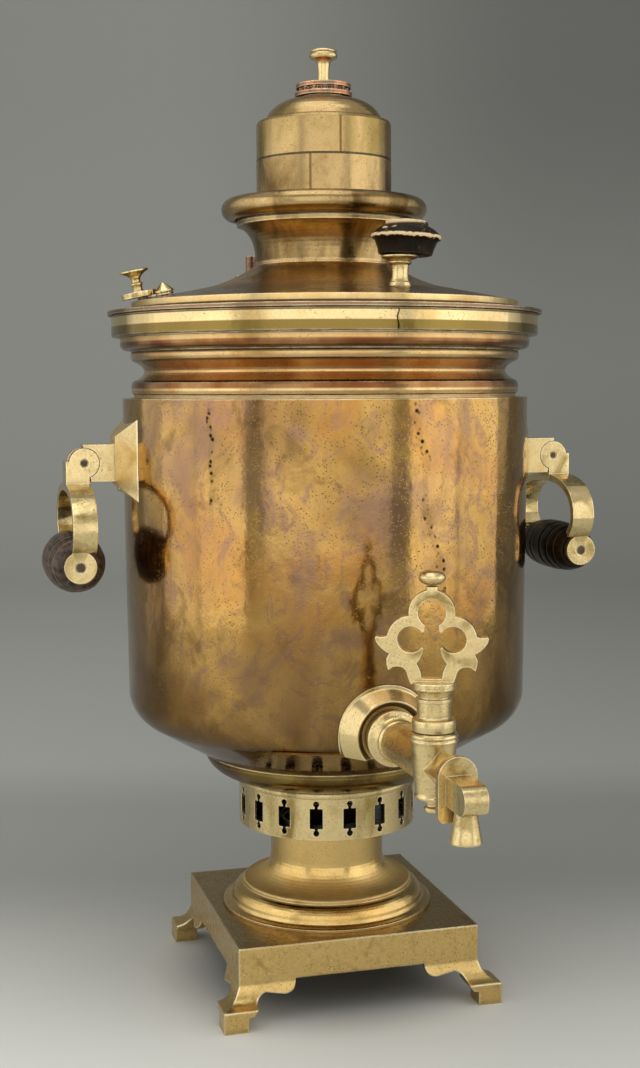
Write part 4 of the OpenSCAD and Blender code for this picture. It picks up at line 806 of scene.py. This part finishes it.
class SAMOVAR_OT_grips(FinishOperator, bpy.types.Operator):
    """Turn both wood grips, barrels with a few grooves round them"""

    bl_idname = "samovar.grips"
    bl_label = "Wood grips"
    grooves = (0.22, 0.5, 0.74)

    def build(self, chosen):
        self.grip("l", chosen, chosen.walnut, chosen.worn_wood, "dark_wood", 0.3)
        self.grip("r", chosen, chosen.ebony, chosen.walnut, "black_wood", 0.1)

    def grip(self, side, chosen, ground, worn, slot, gloss):
        node = f"grip_{side}"
        low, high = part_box(node)
        middle = [(low[i] + high[i]) / 2 for i in range(3)]
        radius = (high[2] - low[2]) / 2
        half = (high[1] - low[1]) / 2

        def rubbed_rings(graph, colour):
            along = graph.math("ABSOLUTE", graph.minus(graph.axes()["Y"], middle[1]))
            for at in self.grooves:
                line = graph.band(along, half * (at + 0.045), half * 0.012, half * 0.02)
                patchy = graph.span(graph.noise(120, 2), 0.35, 0.6, 0.15, 0.8)
                colour = graph.mix(graph.times(line, patchy), colour, worn)
            return colour

        thin = chosen.grip_end
        outline = [(thin * 0.3, -half)]
        steps = 64
        for step in range(steps + 1):
            along = 2 * step / steps - 1
            wide = thin + (radius - thin) * (1 - abs(along) ** 2.4) ** 0.6
            groove = min(abs(abs(along) - at) for at in self.grooves)
            wide -= chosen.groove * max(0, 1 - groove / 0.035)
            outline.append((wide, along * half))
        outline.append((thin * 0.3, half))
        grip = turned(f"turned_{node}", outline, 56)
        dent(grip, chosen.chips, 0.005)
        turn_and_place(grip, math.pi / 2, "X", middle)
        material = turned_wood(f"grip_wood_{side}", ground, chosen.soot, worn, "y", rubbed_rings, gloss)
        complete(grip, material, f"wood_{side}", node)


def panel(name, heading, away, high, wide, tall, glow, tint=(1, 1, 1)):
    """A soft rectangular light that faces the urn's middle; glow is how bright it looks."""
    angle = FACING + math.radians(heading)
    place = (away * math.cos(angle), away * math.sin(angle), high)
    data = bpy.data.lights.new(name, "AREA")
    data.shape = "RECTANGLE"
    data.size = wide
    data.size_y = tall
    data.energy = glow * math.pi * wide * tall
    data.color = tint
    lamp = bpy.data.objects.new(name, data)
    bpy.context.scene.collection.objects.link(lamp)
    lamp.location = place
    tilt = math.atan2(away, high - URN_MIDDLE)
    lamp.rotation_euler = (tilt, 0, angle + math.pi / 2)


class SAMOVAR_OT_studio(FinishOperator, bpy.types.Operator):
    """Set up the pale floor, the soft lights and the camera"""

    bl_idname = "samovar.studio"
    bl_label = "Studio"

    def build(self, chosen):
        self.backdrop(chosen)
        away, high, tall = 1.15, 0.42, 1.3
        warm = (1.0, 0.98, 0.94)
        for name, heading, wide, share, light in (
            ("right_panel", 60, 0.616, 1.12, chosen.key_light),
            ("right_far_panel", 91.5, 0.678, 0.84, chosen.key_light),
            ("left_panel", -57.3, 0.603, 1.02, chosen.side_light),
            ("left_middle_panel", -85.7, 0.56, 0.8, chosen.side_light),
            ("left_far_panel", -109, 0.38, 0.3, chosen.side_light),
        ):
            panel(name, heading, away, high, wide, tall, light * share, warm)
        panel("front_panel", 1.5, 1.6, 0.5, 2.24, 1.5, chosen.front_light, (1.0, 0.97, 0.92))
        panel("top_panel", -20, 0.35, 1.7, 1.6, 1.2, chosen.top_light)
        self.sky()
        self.camera()

    def backdrop(self, chosen):
        """A floor that curves up into a wall behind the urn, turned to face the camera."""
        wide, deep, forward = 7, 4.4, 0.6
        bend, bend_steps, wall = 0.9, 12, 3
        bpy.ops.object.select_all(action="DESELECT")
        bpy.ops.mesh.primitive_plane_add(size=1, location=(0, 0, 0))
        floor = bpy.context.object
        floor.name = "studio_floor"
        bpy.ops.object.mode_set(mode="EDIT")
        bpy.ops.transform.resize(value=(wide, deep, 1), center_override=(0, 0, 0))
        bpy.ops.transform.translate(value=(0, -forward, 0))
        bpy.ops.mesh.select_all(action="DESELECT")
        bpy.ops.object.mode_set(mode="OBJECT")
        for vertex in floor.data.vertices:
            vertex.select = vertex.co.y > 0
        for line in floor.data.edges:
            line.select = all(floor.data.vertices[v].co.y > 0 for v in line.vertices)
        bpy.ops.object.mode_set(mode="EDIT")
        bpy.ops.mesh.select_mode(type="EDGE")
        for step in range(1, bend_steps + 1):
            before = math.radians(90 * (step - 1) / bend_steps)
            after = math.radians(90 * step / bend_steps)
            bpy.ops.mesh.extrude_region_move(TRANSFORM_OT_translate={"value": (
                0, bend * (math.sin(after) - math.sin(before)),
                bend * (math.cos(before) - math.cos(after)))})
        bpy.ops.mesh.extrude_region_move(TRANSFORM_OT_translate={"value": (0, 0, wall)})
        bpy.ops.mesh.select_all(action="SELECT")
        bpy.ops.mesh.normals_make_consistent(inside=False)
        bpy.ops.transform.rotate(value=math.pi / 2 - FACING - math.pi, orient_axis="Z",
                                 center_override=(0, 0, 0))
        bpy.ops.object.mode_set(mode="OBJECT")
        bpy.ops.object.shade_smooth()
        floor.data.materials.append(self.paper(chosen))

    def paper(self, chosen):
        """Matt paper with painted light: a painted falloff from the pale floor to the darker wall, a
        painted shadow behind and under the urn, and painted shade towards the far right.
        """
        graph = Graph("studio_paper")
        axes = graph.axes()
        cos, sin = math.cos(FACING), math.sin(FACING)
        away = graph.plus(graph.times(axes["X"], -cos), graph.times(axes["Y"], -sin))
        aside = graph.minus(graph.times(axes["Y"], cos), graph.times(axes["X"], sin))
        # Painted falloff of the light from the front of the floor to the wall.
        colour = graph.mix(graph.span(away, -0.16, 0.16), chosen.floor, chosen.wall)
        # Painted shade towards the right and up the backdrop.
        painted_dusk = graph.times(graph.span(aside, -0.35, 0.5), graph.span(axes["Z"], 0.3, 0.95, 0.28, 0.55))
        # Painted shadow of the urn behind it.
        behind = graph.times(graph.band(away, 0.24, 0.06, 0.16), 0.24)
        # Painted contact shadow under the base.
        under = graph.span(graph.reach(), 0.1, 0.03, 0, 0.8)
        colour = graph.mix(graph.plus(painted_dusk, behind), colour, chosen.painted_dusk)
        colour = graph.mix(under, colour, chosen.painted_dusk)
        normal = graph.relief(graph.noise(600, 2), 0.0001, 0.2)
        return graph.end(colour, 0.6, normal, 0.0)

    def sky(self):
        world = bpy.data.worlds.new("studio_sky")
        world.use_nodes = True
        back = world.node_tree.nodes["Background"]
        back.inputs["Color"].default_value = (1.0, 1.0, 0.97, 1)
        back.inputs["Strength"].default_value = 0.5
        bpy.context.scene.world = world

    def camera(self):
        data = bpy.data.cameras.new("camera")
        data.sensor_fit = "VERTICAL"
        data.sensor_height = CAMERA_HEIGHT
        data.lens = CAMERA_LENS
        data.clip_start = 0.02
        eye = bpy.data.objects.new("camera", data)
        bpy.context.scene.collection.objects.link(eye)
        eye.location = CAMERA_PLACE
        eye.rotation_euler = [math.radians(turn) for turn in CAMERA_TURN]
        bpy.context.scene.camera = eye
        bpy.context.scene.view_settings.view_transform = "Standard"


PIECES = (
    SAMOVAR_OT_base,
    SAMOVAR_OT_collar,
    SAMOVAR_OT_drum,
    SAMOVAR_OT_lid,
    SAMOVAR_OT_knob,
    SAMOVAR_OT_crown,
    SAMOVAR_OT_tap,
    SAMOVAR_OT_key,
    SAMOVAR_OT_handles,
    SAMOVAR_OT_grips,
    SAMOVAR_OT_studio,
)


class SAMOVAR_PT_pieces(bpy.types.Panel):
    """The samovar's pieces, in the order in which they are finished"""

    bl_idname = "SAMOVAR_PT_pieces"
    bl_label = "Samovar"
    bl_space_type = "VIEW_3D"
    bl_region_type = "UI"
    bl_category = "Samovar"

    def draw(self, context):
        for name in SamovarSettings.__annotations__:
            self.layout.prop(context.scene.samovar, name)
        for piece in PIECES:
            self.layout.operator(piece.bl_idname)


CLASSES = (SamovarSettings, *PIECES, SAMOVAR_PT_pieces)


def register():
    for each in CLASSES:
        bpy.utils.register_class(each)
    bpy.types.Scene.samovar = bpy.props.PointerProperty(type=SamovarSettings)


def unregister():
    del bpy.types.Scene.samovar
    for each in reversed(CLASSES):
        bpy.utils.unregister_class(each)


def main():
    register()
    for piece in PIECES:
        group, name = piece.bl_idname.split(".")
        if getattr(getattr(bpy.ops, group), name)() != {"FINISHED"}:
            raise RuntimeError(f"{piece.bl_label} was not finished")


if __name__ == "__main__":
    main()
